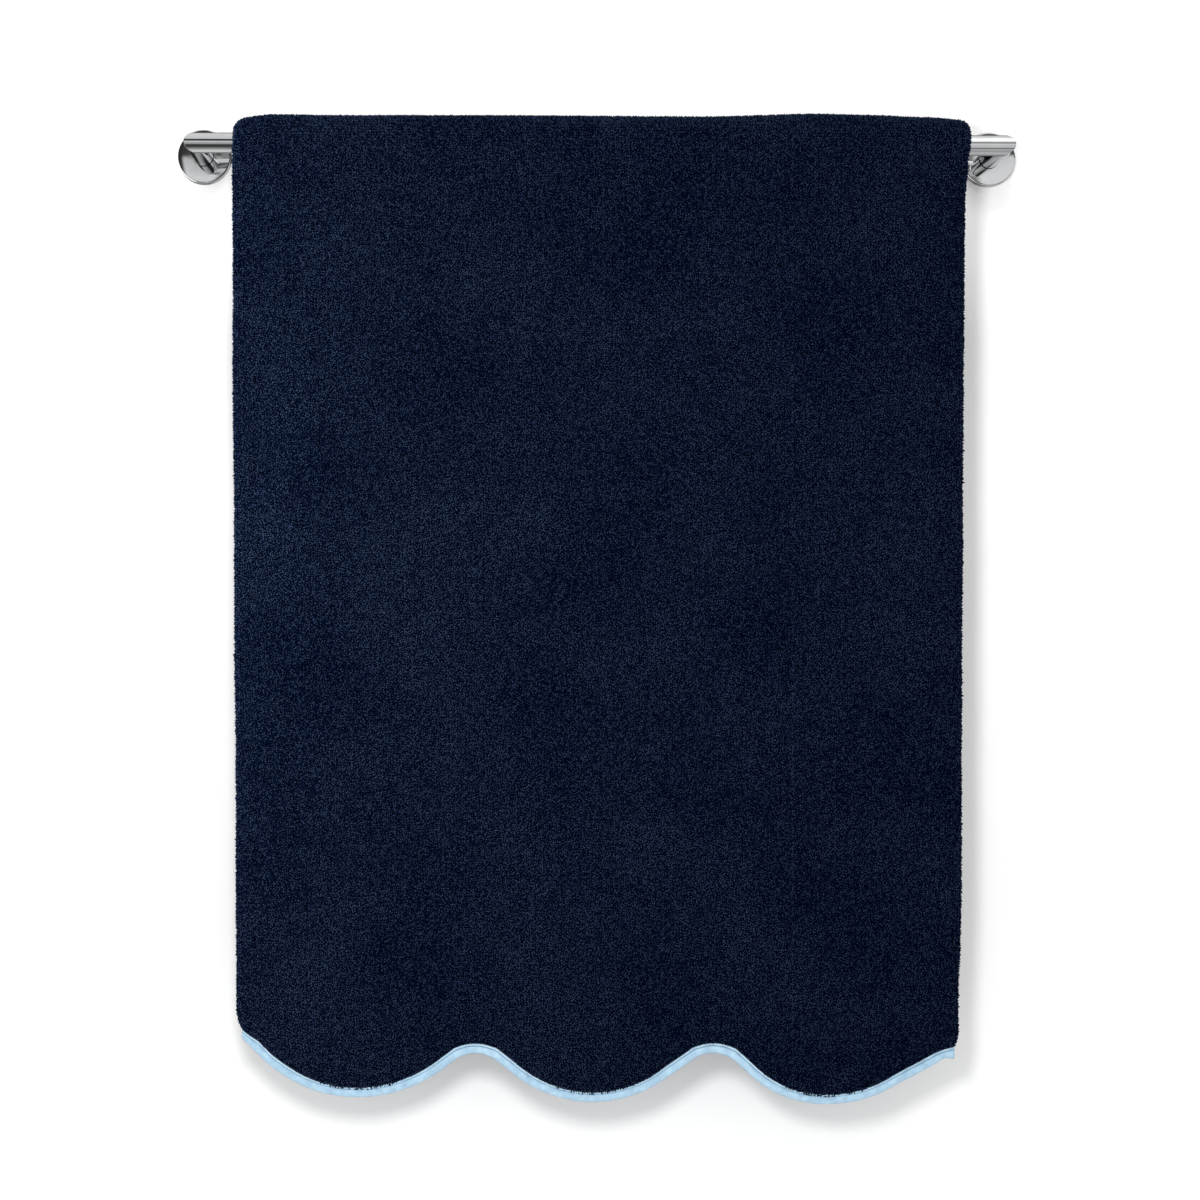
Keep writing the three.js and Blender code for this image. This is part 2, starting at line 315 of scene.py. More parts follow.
class Ripple:
    """Small seeded unevenness, a sum of waves in two directions."""

    def __init__(self, seed: int, waves: int, shortest: float, longest: float, height: float) -> None:
        """Draws the waves.

        Args:
            seed: Seed of the draw.
            waves: How many waves are added up.
            shortest: The shortest wavelength.
            longest: The longest wavelength.
            height: The rough height of the sum.
        """
        draw = np.random.default_rng(seed)
        length = draw.uniform(shortest, longest, waves)
        heading = draw.uniform(0, math.pi, waves)
        self.kx = 2 * math.pi / length * np.cos(heading)
        self.kz = 2 * math.pi / length * np.sin(heading)
        self.phase = draw.uniform(0, 2 * math.pi, waves)
        self.size = height / math.sqrt(waves) * math.sqrt(2)

    def __call__(self, x: np.ndarray, z: np.ndarray) -> np.ndarray:
        """The unevenness at each place."""
        x, z = np.asarray(x, float)[..., None], np.asarray(z, float)[..., None]
        return self.size * np.sin(self.kx * x + self.kz * z + self.phase).sum(-1)


@dataclass(frozen=True)
class Row:
    """One row of the cloth, from its left to its right side edge."""

    kind: RowKind
    drop: Drop = Drop.FRONT
    inset: float = 0.0
    half: float = 0.0
    share: float = 0.0
    angle: float = 0.0


@dataclass
class ClothForm:
    """The form in which the cloth hangs, without its loops.

    Near an end, rows are measured inwards from the scalloped edge. A thin tongue lies inside the
    binding, whose depth narrows towards its left end. Further up, rows share out the drop's length,
    and over the rail they turn by angle. The side edges are rounded over side_round.
    """

    rail: RailSizes
    band_left: float
    band_right: float
    band_depth: float = 9.5
    bound_until: float = 10.5
    back_raised: float = 528.0
    seat_gap: float = 0.5
    half: float = 5.0
    pile: float = 1.6
    crown_lift: float = 0.2
    tongue_start: float = 1.8
    tongue_margin: float = 0.5
    narrow_end: float = 0.66
    narrow_run: float = 20.0
    settling_run: float = 60.0
    side_round: float = 9.0
    side_thinnest: float = 0.3
    side_out_left: float = 0.8
    side_out_right: float = 1.4
    last_inset: float = 22.0
    lowest: float = -900.0
    edge: ScallopEdge = field(default_factory=lambda: ScallopEdge(TIPS))
    ripple: Ripple = field(default_factory=lambda: Ripple(
        seed=11, waves=36, shortest=26, longest=90, height=0.55))

    @classmethod
    def from_frame(cls, rail: RailSizes) -> "ClothForm":
        """Reads the binding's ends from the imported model.

        Args:
            rail: The rail's sizes.

        Returns:
            The form.
        """
        low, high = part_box("binding_front")
        return cls(rail=rail, band_left=low.x / MM, band_right=high.x / MM)

    @property
    def seat_radius(self) -> float:
        """Radius of the cloth's inner face over the rail."""
        return self.rail.tube_radius + self.seat_gap

    def raised(self, drop: Drop) -> float:
        """How much higher a drop's end hangs than the front end."""
        return 0.0 if drop is Drop.FRONT else self.back_raised

    def inset_height(self, drop: Drop, x: np.ndarray, inset: np.ndarray | float) -> np.ndarray:
        """Height of points that lie a given distance in from the scalloped edge.

        Args:
            drop: Which drop.
            x: Where along the edge.
            inset: Distance in from the edge.

        Returns:
            The heights.
        """
        depth = eased(x - self.band_left, (0, self.narrow_run), (self.narrow_end, 1))
        return self.edge.height(x) + self.raised(drop) + inset * depth * self.edge.stretch_at(x)

    def stand_off(self, x: np.ndarray, z: np.ndarray) -> np.ndarray:
        """How far the middle of a drop stands out from the rail's axis.

        Args:
            x: Places across.
            z: Heights, from 0 at the rail's axis.

        Returns:
            The distances.
        """
        settled = eased(-z, (0, self.settling_run), (0, 1))
        total = self.ripple(x, z)
        for swell in SWELLS:
            across = (x - swell.x) / swell.across
            along = (z - swell.z) / swell.along
            total = total + swell.out * np.exp(-(across**2) - along**2)
        leaning = eased(z, [lean.z for lean in LEANS], [lean.out for lean in LEANS])
        return self.seat_radius + self.half + leaning + total * settled

    def edge_stand_off(self, drop: Drop, x: np.ndarray) -> np.ndarray:
        """The same at the bound edge, where cloth and binding share one middle."""
        return self.stand_off(x, self.inset_height(drop, x, self.tongue_start))

    def sides(self, z: float) -> tuple[float, float]:
        """Places the side edges of the cloth without its loops.

        Args:
            z: The height.

        Returns:
            The left and the right edge.
        """
        keys = [edge.z for edge in SIDE_EDGES]
        left = float(eased(z, keys, [edge.left for edge in SIDE_EDGES]))
        right = float(eased(z, keys, [edge.right for edge in SIDE_EDGES]))
        return left - self.side_out_left, right + self.side_out_right

    def _end_sides(self, inset: float, bound: bool) -> tuple[float, float]:
        """Places the side edges of a row near the scalloped end.

        Args:
            inset: The row's distance in from the end.
            bound: Whether the row lies inside the binding.

        Returns:
            The left and the right edge.
        """
        if bound:
            return self.band_left + self.tongue_margin, self.band_right - self.tongue_margin
        share = (inset - self.band_depth) / (self.last_inset - self.band_depth)
        left, right = self.sides(SIDE_EDGES[0].z)
        ease = math.sin(share * math.pi / 2)
        return (self.band_left + (left - self.band_left) * ease,
                self.band_right + (right - self.band_right) * ease)

    def columns(self, left: float, right: float, inner: np.ndarray,
                stops: np.ndarray) -> tuple[np.ndarray, np.ndarray]:
        """Places and relative thickness of a row's columns.

        Args:
            left: The row's left side edge.
            right: Its right side edge.
            inner: Places of the columns between the rounded sides.
            stops: Distances of the side columns from their edge.

        Returns:
            The places and the relative thicknesses.
        """
        x = np.concatenate([left + stops, inner, right - stops[::-1]])
        side = np.sqrt(1 - (1 - np.clip(stops / self.side_round, 0, 1)) ** 2)
        side = np.maximum(side, self.side_thinnest)
        return x, np.concatenate([side, np.ones(len(inner)), side[::-1]])

    def row_points(self, row: Row, face: Face, inner: np.ndarray, stops: np.ndarray) -> np.ndarray:
        """Places one row of one face.

        Args:
            row: The row.
            face: Which face of the cloth.
            inner: Places of the columns between the rounded sides.
            stops: Distances of the side columns from their edge.

        Returns:
            One point for each column, in millimetres.
        """
        if row.kind is RowKind.END:
            bound = row.inset <= self.bound_until
            left, right = self._end_sides(row.inset, bound)
            x, thick = self.columns(left, right, inner, stops)
            z = self.inset_height(row.drop, x, row.inset)
            middle = self.edge_stand_off(row.drop, x) if bound else self.stand_off(x, z)
            half = row.half * (1 if bound else thick)
            return self.hang(row.drop, x, z, middle + face.value * half)
        if row.kind is RowKind.HANG:
            end = self.lowest + self.raised(row.drop)
            left, right = self.sides(end * row.share)
            x, thick = self.columns(left, right, inner, stops)
            z = self.inset_height(row.drop, x, self.last_inset) * row.share
            half = (self.half - self.pile) * thick
            return self.hang(row.drop, x, z, self.stand_off(x, z) + face.value * half)
        level = self.seat_radius * math.sin(row.angle)
        left, right = self.sides(level)
        x, thick = self.columns(left, right, inner, stops)
        lift = math.sin(row.angle) ** 2
        loft = eased(x, [at.x for at in CROWN], [at.top for at in CROWN]) - self.seat_radius
        full = 2 * self.half + (loft - 2 * self.half) * lift
        side = thick + (np.sqrt(thick) - thick) * math.sin(row.angle)
        if face is Face.OUTER:
            radius = self.seat_radius + full * side - self.pile + self.crown_lift * lift
        else:
            radius = self.seat_radius + self.pile * (1 - lift) * np.minimum(side, 1)
        depth = radius * math.cos(row.angle)
        return self.hang(Drop.FRONT, x, radius * math.sin(row.angle), depth)

    def hang(self, drop: Drop, x: np.ndarray, z: np.ndarray, distance: np.ndarray) -> np.ndarray:
        """Points at a distance out from the rail's axis, on the side where a drop hangs."""
        return np.stack([x, -self.rail.wall_to_axis + drop.value * distance, z], axis=-1)


# Small kits for meshes and nodes


def link(mesh: bpy.types.Mesh, name: str) -> bpy.types.Object:
    """Makes an object of a mesh and links it to the scene.

    Args:
        mesh: The mesh, in metres and in place.
        name: The piece's name.

    Returns:
        The new object.
    """
    piece = bpy.data.objects.new(name, mesh)
    bpy.context.scene.collection.objects.link(piece)
    return piece


def mesh_of(name: str, points_mm: np.ndarray, faces: list[tuple[int, ...]]) -> bpy.types.Mesh:
    """Makes a smooth mesh from points in millimetres.

    Args:
        name: The mesh's name.
        points_mm: One row for each point.
        faces: Corner indices of each face.

    Returns:
        The mesh, in metres.
    """
    mesh = bpy.data.meshes.new(name)
    mesh.from_pydata((np.asarray(points_mm) * MM).tolist(), [], faces)
    mesh.validate()
    mesh.polygons.foreach_set("use_smooth", [True] * len(mesh.polygons))
    mesh.update()
    return mesh


def turn_outwards(mesh: bpy.types.Mesh) -> None:
    """Turns every face of a closed mesh outwards.

    Args:
        mesh: The mesh.
    """
    work = bmesh.new()
    work.from_mesh(mesh)
    bmesh.ops.recalc_face_normals(work, faces=work.faces[:])
    work.to_mesh(mesh)
    work.free()
    mesh.update()


def grid_faces(rows: int, columns: int, start: int = 0, flip: bool = False) -> list[tuple[int, ...]]:
    """Quads between the points of a grid.

    Args:
        rows: Number of rows.
        columns: Number of columns.
        start: Index of the first point.
        flip: Whether the faces turn the other way.

    Returns:
        The quads.
    """
    quads = []
    for row in range(rows - 1):
        first = start + row * columns
        for column in range(columns - 1):
            a = first + column
            quad = (a, a + 1, a + 1 + columns, a + columns)
            quads.append(quad[::-1] if flip else quad)
    return quads


def ring_faces(rings: int, count: int, start: int = 0) -> list[tuple[int, ...]]:
    """Quads between neighbouring rings of points.

    Args:
        rings: Number of rings.
        count: Points in each ring.
        start: Index of the first point.

    Returns:
        The quads.
    """
    quads = []
    for ring in range(rings - 1):
        first, second = start + ring * count, start + (ring + 1) * count
        for step in range(count):
            after = (step + 1) % count
            quads.append((first + step, first + after, second + after, second + step))
    return quads


def turned_piece(name: str, points: Sequence[Sequence[float]], faces: list[tuple[int, ...]],
                 material: bpy.types.Material) -> bpy.types.Object:
    """Finishes a closed metal piece: faces outwards, crisp edges, its material.

    Args:
        name: The piece's name.
        points: Its points, in millimetres.
        faces: Corner indices of its faces.
        material: Its material.

    Returns:
        The piece.
    """
    mesh = mesh_of(name, np.array([tuple(point) for point in points]), faces)
    turn_outwards(mesh)
    mesh.set_sharp_from_angle(angle=SHARP_ANGLE)
    mesh.materials.append(material)
    return link(mesh, name)


class Wire:
    """A shader socket that takes part in sums."""

    def __init__(self, kit: "NodeKit", socket: bpy.types.NodeSocket) -> None:
        self.kit = kit
        self.socket = socket

    def _math(self, operation: str, first: Any, second: Any = 0.0) -> "Wire":
        """Adds one Math node for an operation on two values."""
        return self.kit.add("ShaderNodeMath", {"operation": operation}, {0: first, 1: second})

    def __add__(self, other: Any) -> "Wire":
        """Sum."""
        return self._math("ADD", self, other)

    __radd__ = __add__

    def __mul__(self, other: Any) -> "Wire":
        """Product."""
        return self._math("MULTIPLY", self, other)

    __rmul__ = __mul__

    def __sub__(self, other: Any) -> "Wire":
        """Difference."""
        return self._math("SUBTRACT", self, other)

    def __rsub__(self, other: Any) -> "Wire":
        """Difference from a number."""
        return self._math("SUBTRACT", other, self)

    def __pow__(self, other: Any) -> "Wire":
        """Power."""
        return self._math("POWER", self, other)

    def clamped(self, low: float, high: float) -> "Wire":
        """The value moved from low and high to 0 and 1, and kept between them."""
        inputs = {"Value": self, "From Min": low, "From Max": high}
        return self.kit.add("ShaderNodeMapRange", {"clamp": True}, inputs)

    def sine(self) -> "Wire":
        """Sine of the value."""
        return self._math("SINE", self)

    def arcsine(self) -> "Wire":
        """Angle whose sine the value is, in radians."""
        return self._math("ARCSINE", self)


class NodeKit:
    """Adds nodes to one node tree."""

    def __init__(self, tree: bpy.types.NodeTree) -> None:
        """Starts on a tree."""
        self.tree = tree

    def add(self, kind: str, settings: dict[str, Any] | None = None,
            inputs: dict[Any, Any] | None = None, output: Any = 0) -> Wire:
        """Adds a node, sets it up and joins it.

        Args:
            kind: The node's type name.
            settings: Properties of the node, set before its sockets.
            inputs: Values or wires, by socket name or number.
            output: Name or number of the socket that is handed back.

        Returns:
            The chosen output.
        """
        node = self.tree.nodes.new(kind)
        for name, value in (settings or {}).items():
            if name == "stops":
                self._set_stops(node.color_ramp, value)
            else:
                setattr(node, name, value)
        for key, value in (inputs or {}).items():
            self.join(node, key, value)
        return Wire(self, node.outputs[output])

    @staticmethod
    def _set_stops(ramp: bpy.types.ColorRamp, stops: Sequence[tuple[float, float]]) -> None:
        """Gives a ramp its stops.

        Args:
            ramp: The ramp.
            stops: A position and a grey for each stop.
        """
        while len(ramp.elements) < len(stops):
            ramp.elements.new(1.0)
        for element, (position, grey) in zip(ramp.elements, stops):
            element.position = position
            element.color = (grey, grey, grey, 1.0)

    def parts_of(self, vector: Wire) -> tuple[Wire, Wire, Wire]:
        """Parts a vector.

        Args:
            vector: The vector.

        Returns:
            Its three numbers.
        """
        node = self.tree.nodes.new("ShaderNodeSeparateXYZ")
        self.join(node, 0, vector)
        return tuple(Wire(self, output) for output in node.outputs)

    def blend(self, share: Any, first: Any, second: Any) -> Wire:
        """Mixes two colours.

        Args:
            share: How much of the second colour.
            first: A colour or a wire.
            second: A colour or a wire.

        Returns:
            The mixed colour.
        """
        node = self.tree.nodes.new("ShaderNodeMix")
        node.data_type = "RGBA"
        self.join(node, 0, share)
        self.join(node, 6, self._rgba(first))
        self.join(node, 7, self._rgba(second))
        return Wire(self, node.outputs[2])

    @staticmethod
    def _rgba(colour: Any) -> Any:
        """Adds alpha to a plain colour and leaves a wire as it is."""
        return colour if isinstance(colour, Wire) else (*colour, 1.0)

    def join(self, node: bpy.types.Node, key: Any, value: Any) -> None:
        """Sets one input of a node.

        Args:
            node: The node.
            key: The input's name or number.
            value: A plain value or a wire.
        """
        if isinstance(value, Wire):
            self.tree.links.new(value.socket, node.inputs[key])
        else:
            node.inputs[key].default_value = value


class MaterialKit(NodeKit):
    """Nodes of one material around its Principled shader."""

    def __init__(self, name: str, constants: dict[str, Any]) -> None:
        """Makes the material.

        Args:
            name: The material's name.
            constants: Values that are the same all over, by the shader's socket names.
        """
        self.material = bpy.data.materials.new(name)
        self.material.use_nodes = True
        super().__init__(self.material.node_tree)
        self.shader = self.tree.nodes["Principled BSDF"]
        for key, value in constants.items():
            self.shader.inputs[key].default_value = value

    def place(self) -> Wire:
        """Object coordinates, in metres."""
        return self.add("ShaderNodeTexCoord", output="Object")

    def noise(self, scale: float, detail: float = 2.0) -> Wire:
        """Noise on the object's own coordinates."""
        inputs = {"Vector": self.place(), "Scale": scale, "Detail": detail}
        return self.add("ShaderNodeTexNoise", None, inputs)

    def attribute(self, name: str) -> Wire:
        """A value stored on the piece."""
        return self.add("ShaderNodeAttribute", {"attribute_name": name}, None, "Fac")

    def drive(self, socket: str, wire: Wire) -> None:
        """Lets a varying value feed one of the shader's sockets."""
        self.join(self.shader, socket, wire)

    def bump(self, height: Wire, distance: float, strength: float = 1.0) -> None:
        """Raises the surface by a height, with distance in metres."""
        inputs = {"Height": height, "Distance": distance, "Strength": strength}
        self.drive("Normal", self.add("ShaderNodeBump", None, inputs, "Normal"))


# Finishes


@dataclass(frozen=True)
class LoopFinish:
    """Navy cotton loops, a little lighter at their tops; their darkening towards the root is painted shade.
    """

    # root: the near-black painted shade that each loop fades to at its root
    root: Colour = (0.0, 0.0002, 0.0020)
    low: Colour = (0.0002, 0.0030, 0.0190)
    high: Colour = (0.0260, 0.0415, 0.0840)
    patch_scale: float = 9.0
    patch_share: float = 0.25
    patch_range: tuple = (0.36, 0.66)
    root_shade_range: tuple = (0.05, 0.5)
    fibre_scale: float = 2200.0
    fibre_height: float = 0.00012
    fibre_strength: float = 0.6

    def build(self) -> bpy.types.Material:
        """Builds the material.

        Returns:
            The material.
        """
        kit = MaterialKit("terry_loops", {"Roughness": 0.7, "Specular IOR Level": 0.0})
        patches = kit.noise(self.patch_scale, 3.0).clamped(*self.patch_range)
        own = kit.attribute("shade")
        shade = own * (1 - self.patch_share) + patches * self.patch_share
        body = kit.blend(shade, self.low, self.high)
        # painted shade: the lower part of each loop darkens towards its root, where shade falls between
        # loops
        height = kit.attribute("tip").clamped(*self.root_shade_range)
        kit.drive("Base Color", kit.blend(height, self.root, body))
        kit.bump(kit.noise(self.fibre_scale, 1.0), self.fibre_height, self.fibre_strength)
        return kit.material


@dataclass(frozen=True)
class GroundFinish:
    """The ground cloth between and behind the loops; its near-black colour and the darker rims of its small
    cells are painted shade.
    """

    dark: Colour = (0.0, 0.0003, 0.0025)
    light: Colour = (0.0020, 0.0050, 0.0180)
    loop_scale: float = 420.0
    loop_height: float = 0.0016
    loop_fall: float = 1.5

    def build(self) -> bpy.types.Material:
        """Builds the material.

        Returns:
            The material.
        """
        kit = MaterialKit("terry_ground", {"Roughness": 0.8, "Specular IOR Level": 0.0})
        inputs = {"Vector": kit.place(), "Scale": self.loop_scale}
        cells = kit.add("ShaderNodeTexVoronoi", None, inputs, "Distance")
        relief = (1 - cells) ** self.loop_fall
        # painted shade: near black, darkest at the rims of the cells, as the shade between loops
        kit.drive("Base Color", kit.blend(relief, self.dark, self.light))
        kit.bump(relief, self.loop_height)
        return kit.material


@dataclass(frozen=True)
class TapeFinish:
    """Pale blue plain-woven cotton tape, with painted shade in its pucker troughs, its seam's groove and
    along its fold, and a painted highlight along its lip.
    """

    base: Colour = (0.518, 0.742, 0.900)
    deep: Colour = (0.305, 0.470, 0.635)
    # edge: the colour of the painted highlight along the lip
    edge: Colour = (0.620, 0.820, 0.940)
    # groove: the colour of the painted shade in the seam's groove, along the fold and inside the tape
    groove: Colour = (0.070, 0.120, 0.180)
    wash_scale: float = 150.0
    wash_range: tuple = (0.3, 0.7)
    wash_share: float = 0.6
    weave_share: float = 0.2
    crease_shade_share: float = 0.6
    lip_highlight_share: float = 0.8
    groove_shade_share: float = 0.85
    thread_pitch: float = 0.00042
    thread_height: float = 0.00008
    thread_strength: float = 0.8

    def build(self) -> bpy.types.Material:
        """Builds the material.

        Returns:
            The material.
        """
        kit = MaterialKit("binding_tape", {"Roughness": 0.75, "Specular IOR Level": 0.1})
        turn = 2 * math.pi / self.thread_pitch
        weave = (kit.attribute("along") * turn).sine() * (kit.attribute("across") * turn).sine()
        wash = kit.noise(self.wash_scale, 3.0).clamped(*self.wash_range)
        layers = (
            (wash * self.wash_share, self.deep),
            (weave.clamped(-1.0, 1.0) * self.weave_share, self.deep),
            # painted shade in the troughs of the puckers
            (kit.attribute("crease") * self.crease_shade_share, self.deep),
            # painted highlight along the lip
            (kit.attribute("lip") * self.lip_highlight_share, self.edge),
            # painted shade in the seam's groove, along the fold and inside the tape
            (kit.attribute("groove") * self.groove_shade_share, self.groove),
        )
        colour = self.base
        for share, over in layers:
            colour = kit.blend(share, colour, over)
        kit.drive("Base Color", colour)
        kit.bump(weave, self.thread_height, self.thread_strength)
        return kit.material


@dataclass(frozen=True)
class ThreadFinish:
    """The sewing thread along the binding."""

    light: Colour = (0.330, 0.500, 0.660)
    dark: Colour = (0.140, 0.230, 0.330)
    ply_scale: float = 1500.0
    ply_height: float = 0.00006
    ply_strength: float = 0.5

    def build(self) -> bpy.types.Material:
        """Builds the material.

        Returns:
            The material.
        """
        kit = MaterialKit("sewing_thread", {"Roughness": 0.6, "Sheen Weight": 0.2})
        plies = kit.noise(self.ply_scale, 1.0)
        kit.drive("Base Color", kit.blend(plies, self.dark, self.light))
        kit.bump(plies, self.ply_height, self.ply_strength)
        return kit.material


@dataclass(frozen=True)
class ChromeFinish:
    """Polished chrome with the faint clouding of a handled rail."""

    bright: Colour = (0.86, 0.87, 0.88)
    dull: Colour = (0.78, 0.79, 0.81)
    polish: float = 0.02
    clouding: float = 0.04
    cloud_scale: float = 55.0
    cloud_range: tuple = (0.45, 0.8)
    wave_scale: float = 900.0
    wave_height: float = 0.000004
    wave_strength: float = 0.4

    def build(self) -> bpy.types.Material:
        """Builds the material.

        Returns:
            The material.
        """
        kit = MaterialKit("chrome", {"Metallic": 1.0})
        clouds = kit.noise(self.cloud_scale, 4.0).clamped(*self.cloud_range)
        kit.drive("Base Color", kit.blend(clouds, self.bright, self.dull))
        kit.drive("Roughness", clouds * self.clouding + self.polish)
        kit.bump(kit.noise(self.wave_scale), self.wave_height, self.wave_strength)
        return kit.material


@dataclass(frozen=True)
class DarkFinish:
    """The shadowed metal inside a screw's socket."""

    light: Colour = (0.05, 0.05, 0.055)
    dark: Colour = (0.015, 0.015, 0.017)
    grain_scale: float = 1200.0

    def build(self) -> bpy.types.Material:
        """Builds the material.

        Returns:
            The material.
        """
        kit = MaterialKit("screw_steel", {"Metallic": 1.0, "Roughness": 0.35})
        kit.drive("Base Color", kit.blend(kit.noise(self.grain_scale), self.dark, self.light))
        return kit.material


# Loops and stitches, made by Geometry Nodes


@dataclass(frozen=True)
class TreeInput:
    """A named input of a geometry tree."""

    name: str
    kind: str


class GeometryTree(NodeKit):
    """A geometry node tree with named inputs."""

    def __init__(self, name: str, inputs: Sequence[TreeInput]) -> None:
        """Makes the tree and its interface.

        Args:
            name: The tree's name.
            inputs: Its inputs after the geometry.
        """
        super().__init__(bpy.data.node_groups.new(name, "GeometryNodeTree"))
        face = self.tree.interface
        face.new_socket("Geometry", in_out="INPUT", socket_type="NodeSocketGeometry")
        face.new_socket("Geometry", in_out="OUTPUT", socket_type="NodeSocketGeometry")
        self.identifiers = {
            entry.name: face.new_socket(entry.name, in_out="INPUT", socket_type=entry.kind).identifier
            for entry in inputs}
        self.group = self.tree.nodes.new("NodeGroupInput")

    def given(self, name: str) -> Wire:
        """One of the tree's inputs."""
        return Wire(self, self.group.outputs[name])

    def finish(self, geometry: Wire) -> None:
        """Realizes the instances, gives them the material and ends the tree.

        Args:
            geometry: The instances.
        """
        real = self.add("GeometryNodeRealizeInstances", None, {0: geometry})
        smooth = self.add("GeometryNodeSetShadeSmooth", None, {0: real})
        dressed = self.add("GeometryNodeSetMaterial", None, {0: smooth, "Material": self.given("Material")})
        end = self.tree.nodes.new("NodeGroupOutput")
        self.join(end, 0, dressed)

    def grow(self, base: bpy.types.Object, values: dict[str, Any], name: str) -> bpy.types.Object:
        """Runs the tree on an object and keeps the result as a plain mesh.

        Args:
            base: The object that the tree works on; it is deleted afterwards.
            values: Values of the tree's inputs.
            name: The new piece's name.

        Returns:
            The new piece.
        """
        modifier = base.modifiers.new("grow", "NODES")
        modifier.node_group = self.tree
        for key, value in values.items():
            modifier[self.identifiers[key]] = value
        bpy.context.view_layer.update()
        graph = bpy.context.evaluated_depsgraph_get()
        mesh = bpy.data.meshes.new_from_object(base.evaluated_get(graph))
        mesh.name = name
        old = base.data
        base.modifiers.remove(modifier)
        bpy.data.objects.remove(base)
        bpy.data.meshes.remove(old)
        return link(mesh, name)

    def chance(self, low: float, high: float, salt: int) -> Wire:
        """A seeded random number for each point."""
        inputs = {2: low, 3: high, "Seed": self.given("Seed") + salt}
        return self.add("FunctionNodeRandomValue", {"data_type": "FLOAT"}, inputs, 1)

    def combine(self, x: Any, y: Any, z: Any) -> Wire:
        """A vector of three numbers."""
        return self.add("ShaderNodeCombineXYZ", None, {0: x, 1: y, 2: z})


class PileTree(GeometryTree):
    """Scatters yarn loops over a cloth's face and lets them lean in soft swirls."""

    SCALE_LOW = 0.75
    SCALE_HIGH = 1.2
    SPIN = 1.35
    SWIRL_TURNS = 7.0
    DRIFT_SCALE = 0.8
    TILT = 0.35
    LEAN = 1.4
    PACKING = 6.0
    SINK = 0.0003
    HOOK = 0.12

    def __init__(self) -> None:
        """Builds the tree."""
        super().__init__("loop_pile", (
            TreeInput("Spacing", "NodeSocketFloat"),
            TreeInput("Length", "NodeSocketFloat"),
            TreeInput("Height", "NodeSocketFloat"),
            TreeInput("Yarn", "NodeSocketFloat"),
            TreeInput("Swirl", "NodeSocketFloat"),
            TreeInput("Seed", "NodeSocketInt"),
            TreeInput("Material", "NodeSocketMaterial"),
        ))
        scatter = self.tree.nodes.new("GeometryNodeDistributePointsOnFaces")
        scatter.distribute_method = "POISSON"
        self.join(scatter, "Mesh", self.given("Geometry"))
        self.join(scatter, "Distance Min", self.given("Spacing"))
        self.join(scatter, "Density Max", self.PACKING * (self.given("Spacing") ** -2.0))
        self.join(scatter, "Seed", self.given("Seed"))
        points = Wire(self, scatter.outputs["Points"])
        upright = Wire(self, scatter.outputs["Rotation"])
        self.finish(self._instances(points, upright))

    def _instances(self, points: Wire, upright: Wire) -> Wire:
        """Puts one loop on each point, turned by the swirl and by chance.

        Args:
            points: The points.
            upright: The turn that stands a loop square on the cloth at each point.

        Returns:
            The instances, each with its own shade.
        """
        place = self.add("GeometryNodeInputPosition")
        swirl = self.add("ShaderNodeTexNoise", None,
                         {"Vector": place, "Scale": self.given("Swirl"), "Detail": 1.0})
        drift = self.add("ShaderNodeTexNoise", None,
                         {"Vector": place, "Scale": self.given("Swirl") * self.DRIFT_SCALE, "Detail": 0.0})
        spin = swirl * self.SWIRL_TURNS + self.chance(-self.SPIN, self.SPIN, 1)
        tilt = self.chance(-self.TILT, self.TILT, 2) + (drift - 0.5) * self.LEAN
        euler = self.combine(tilt, self.chance(-self.TILT, self.TILT, 3), spin)
        by = self.add("FunctionNodeEulerToRotation", None, {0: euler})
        turned = self.add("FunctionNodeRotateRotation", {"rotation_space": "LOCAL"},
                          {0: upright, 1: by})
        size = self.chance(self.SCALE_LOW, self.SCALE_HIGH, 4)
        placed = self.add("GeometryNodeInstanceOnPoints", None, {
            "Points": points, "Instance": self._loop(), "Rotation": turned, "Scale": size})
        return self._store(placed, "shade", self.chance(0.0, 1.0, 5), "INSTANCE")

    def _loop(self) -> Wire:
        """Makes one curl of yarn: a short three-sided knob, closed below and drawn to one side.

        Returns:
            The knob, with its height stored as "tip".
        """
        knob = self.add("GeometryNodeMeshCone", {"fill_type": "NGON"}, {
            "Vertices": 3, "Side Segments": 1, "Radius Top": 0.0, "Radius Bottom": 1.0, "Depth": 1.0})
        x, y, z = self.parts_of(self.add("GeometryNodeInputPosition"))
        length, yarn = self.given("Length"), self.given("Yarn")
        drawn = self.combine(x * length * 0.5 + z * length * self.HOOK, y * yarn,
                             z * self.given("Height") - self.SINK)
        stored = self._store(knob, "tip", z, "POINT")
        return self.add("GeometryNodeSetPosition", None, {0: stored, "Position": drawn})

    def _store(self, geometry: Wire, name: str, value: Wire, domain: str) -> Wire:
        """Stores a value on a geometry under a name."""
        return self.add("GeometryNodeStoreNamedAttribute", {"data_type": "FLOAT", "domain": domain},
                        {0: geometry, "Name": name, "Value": value})


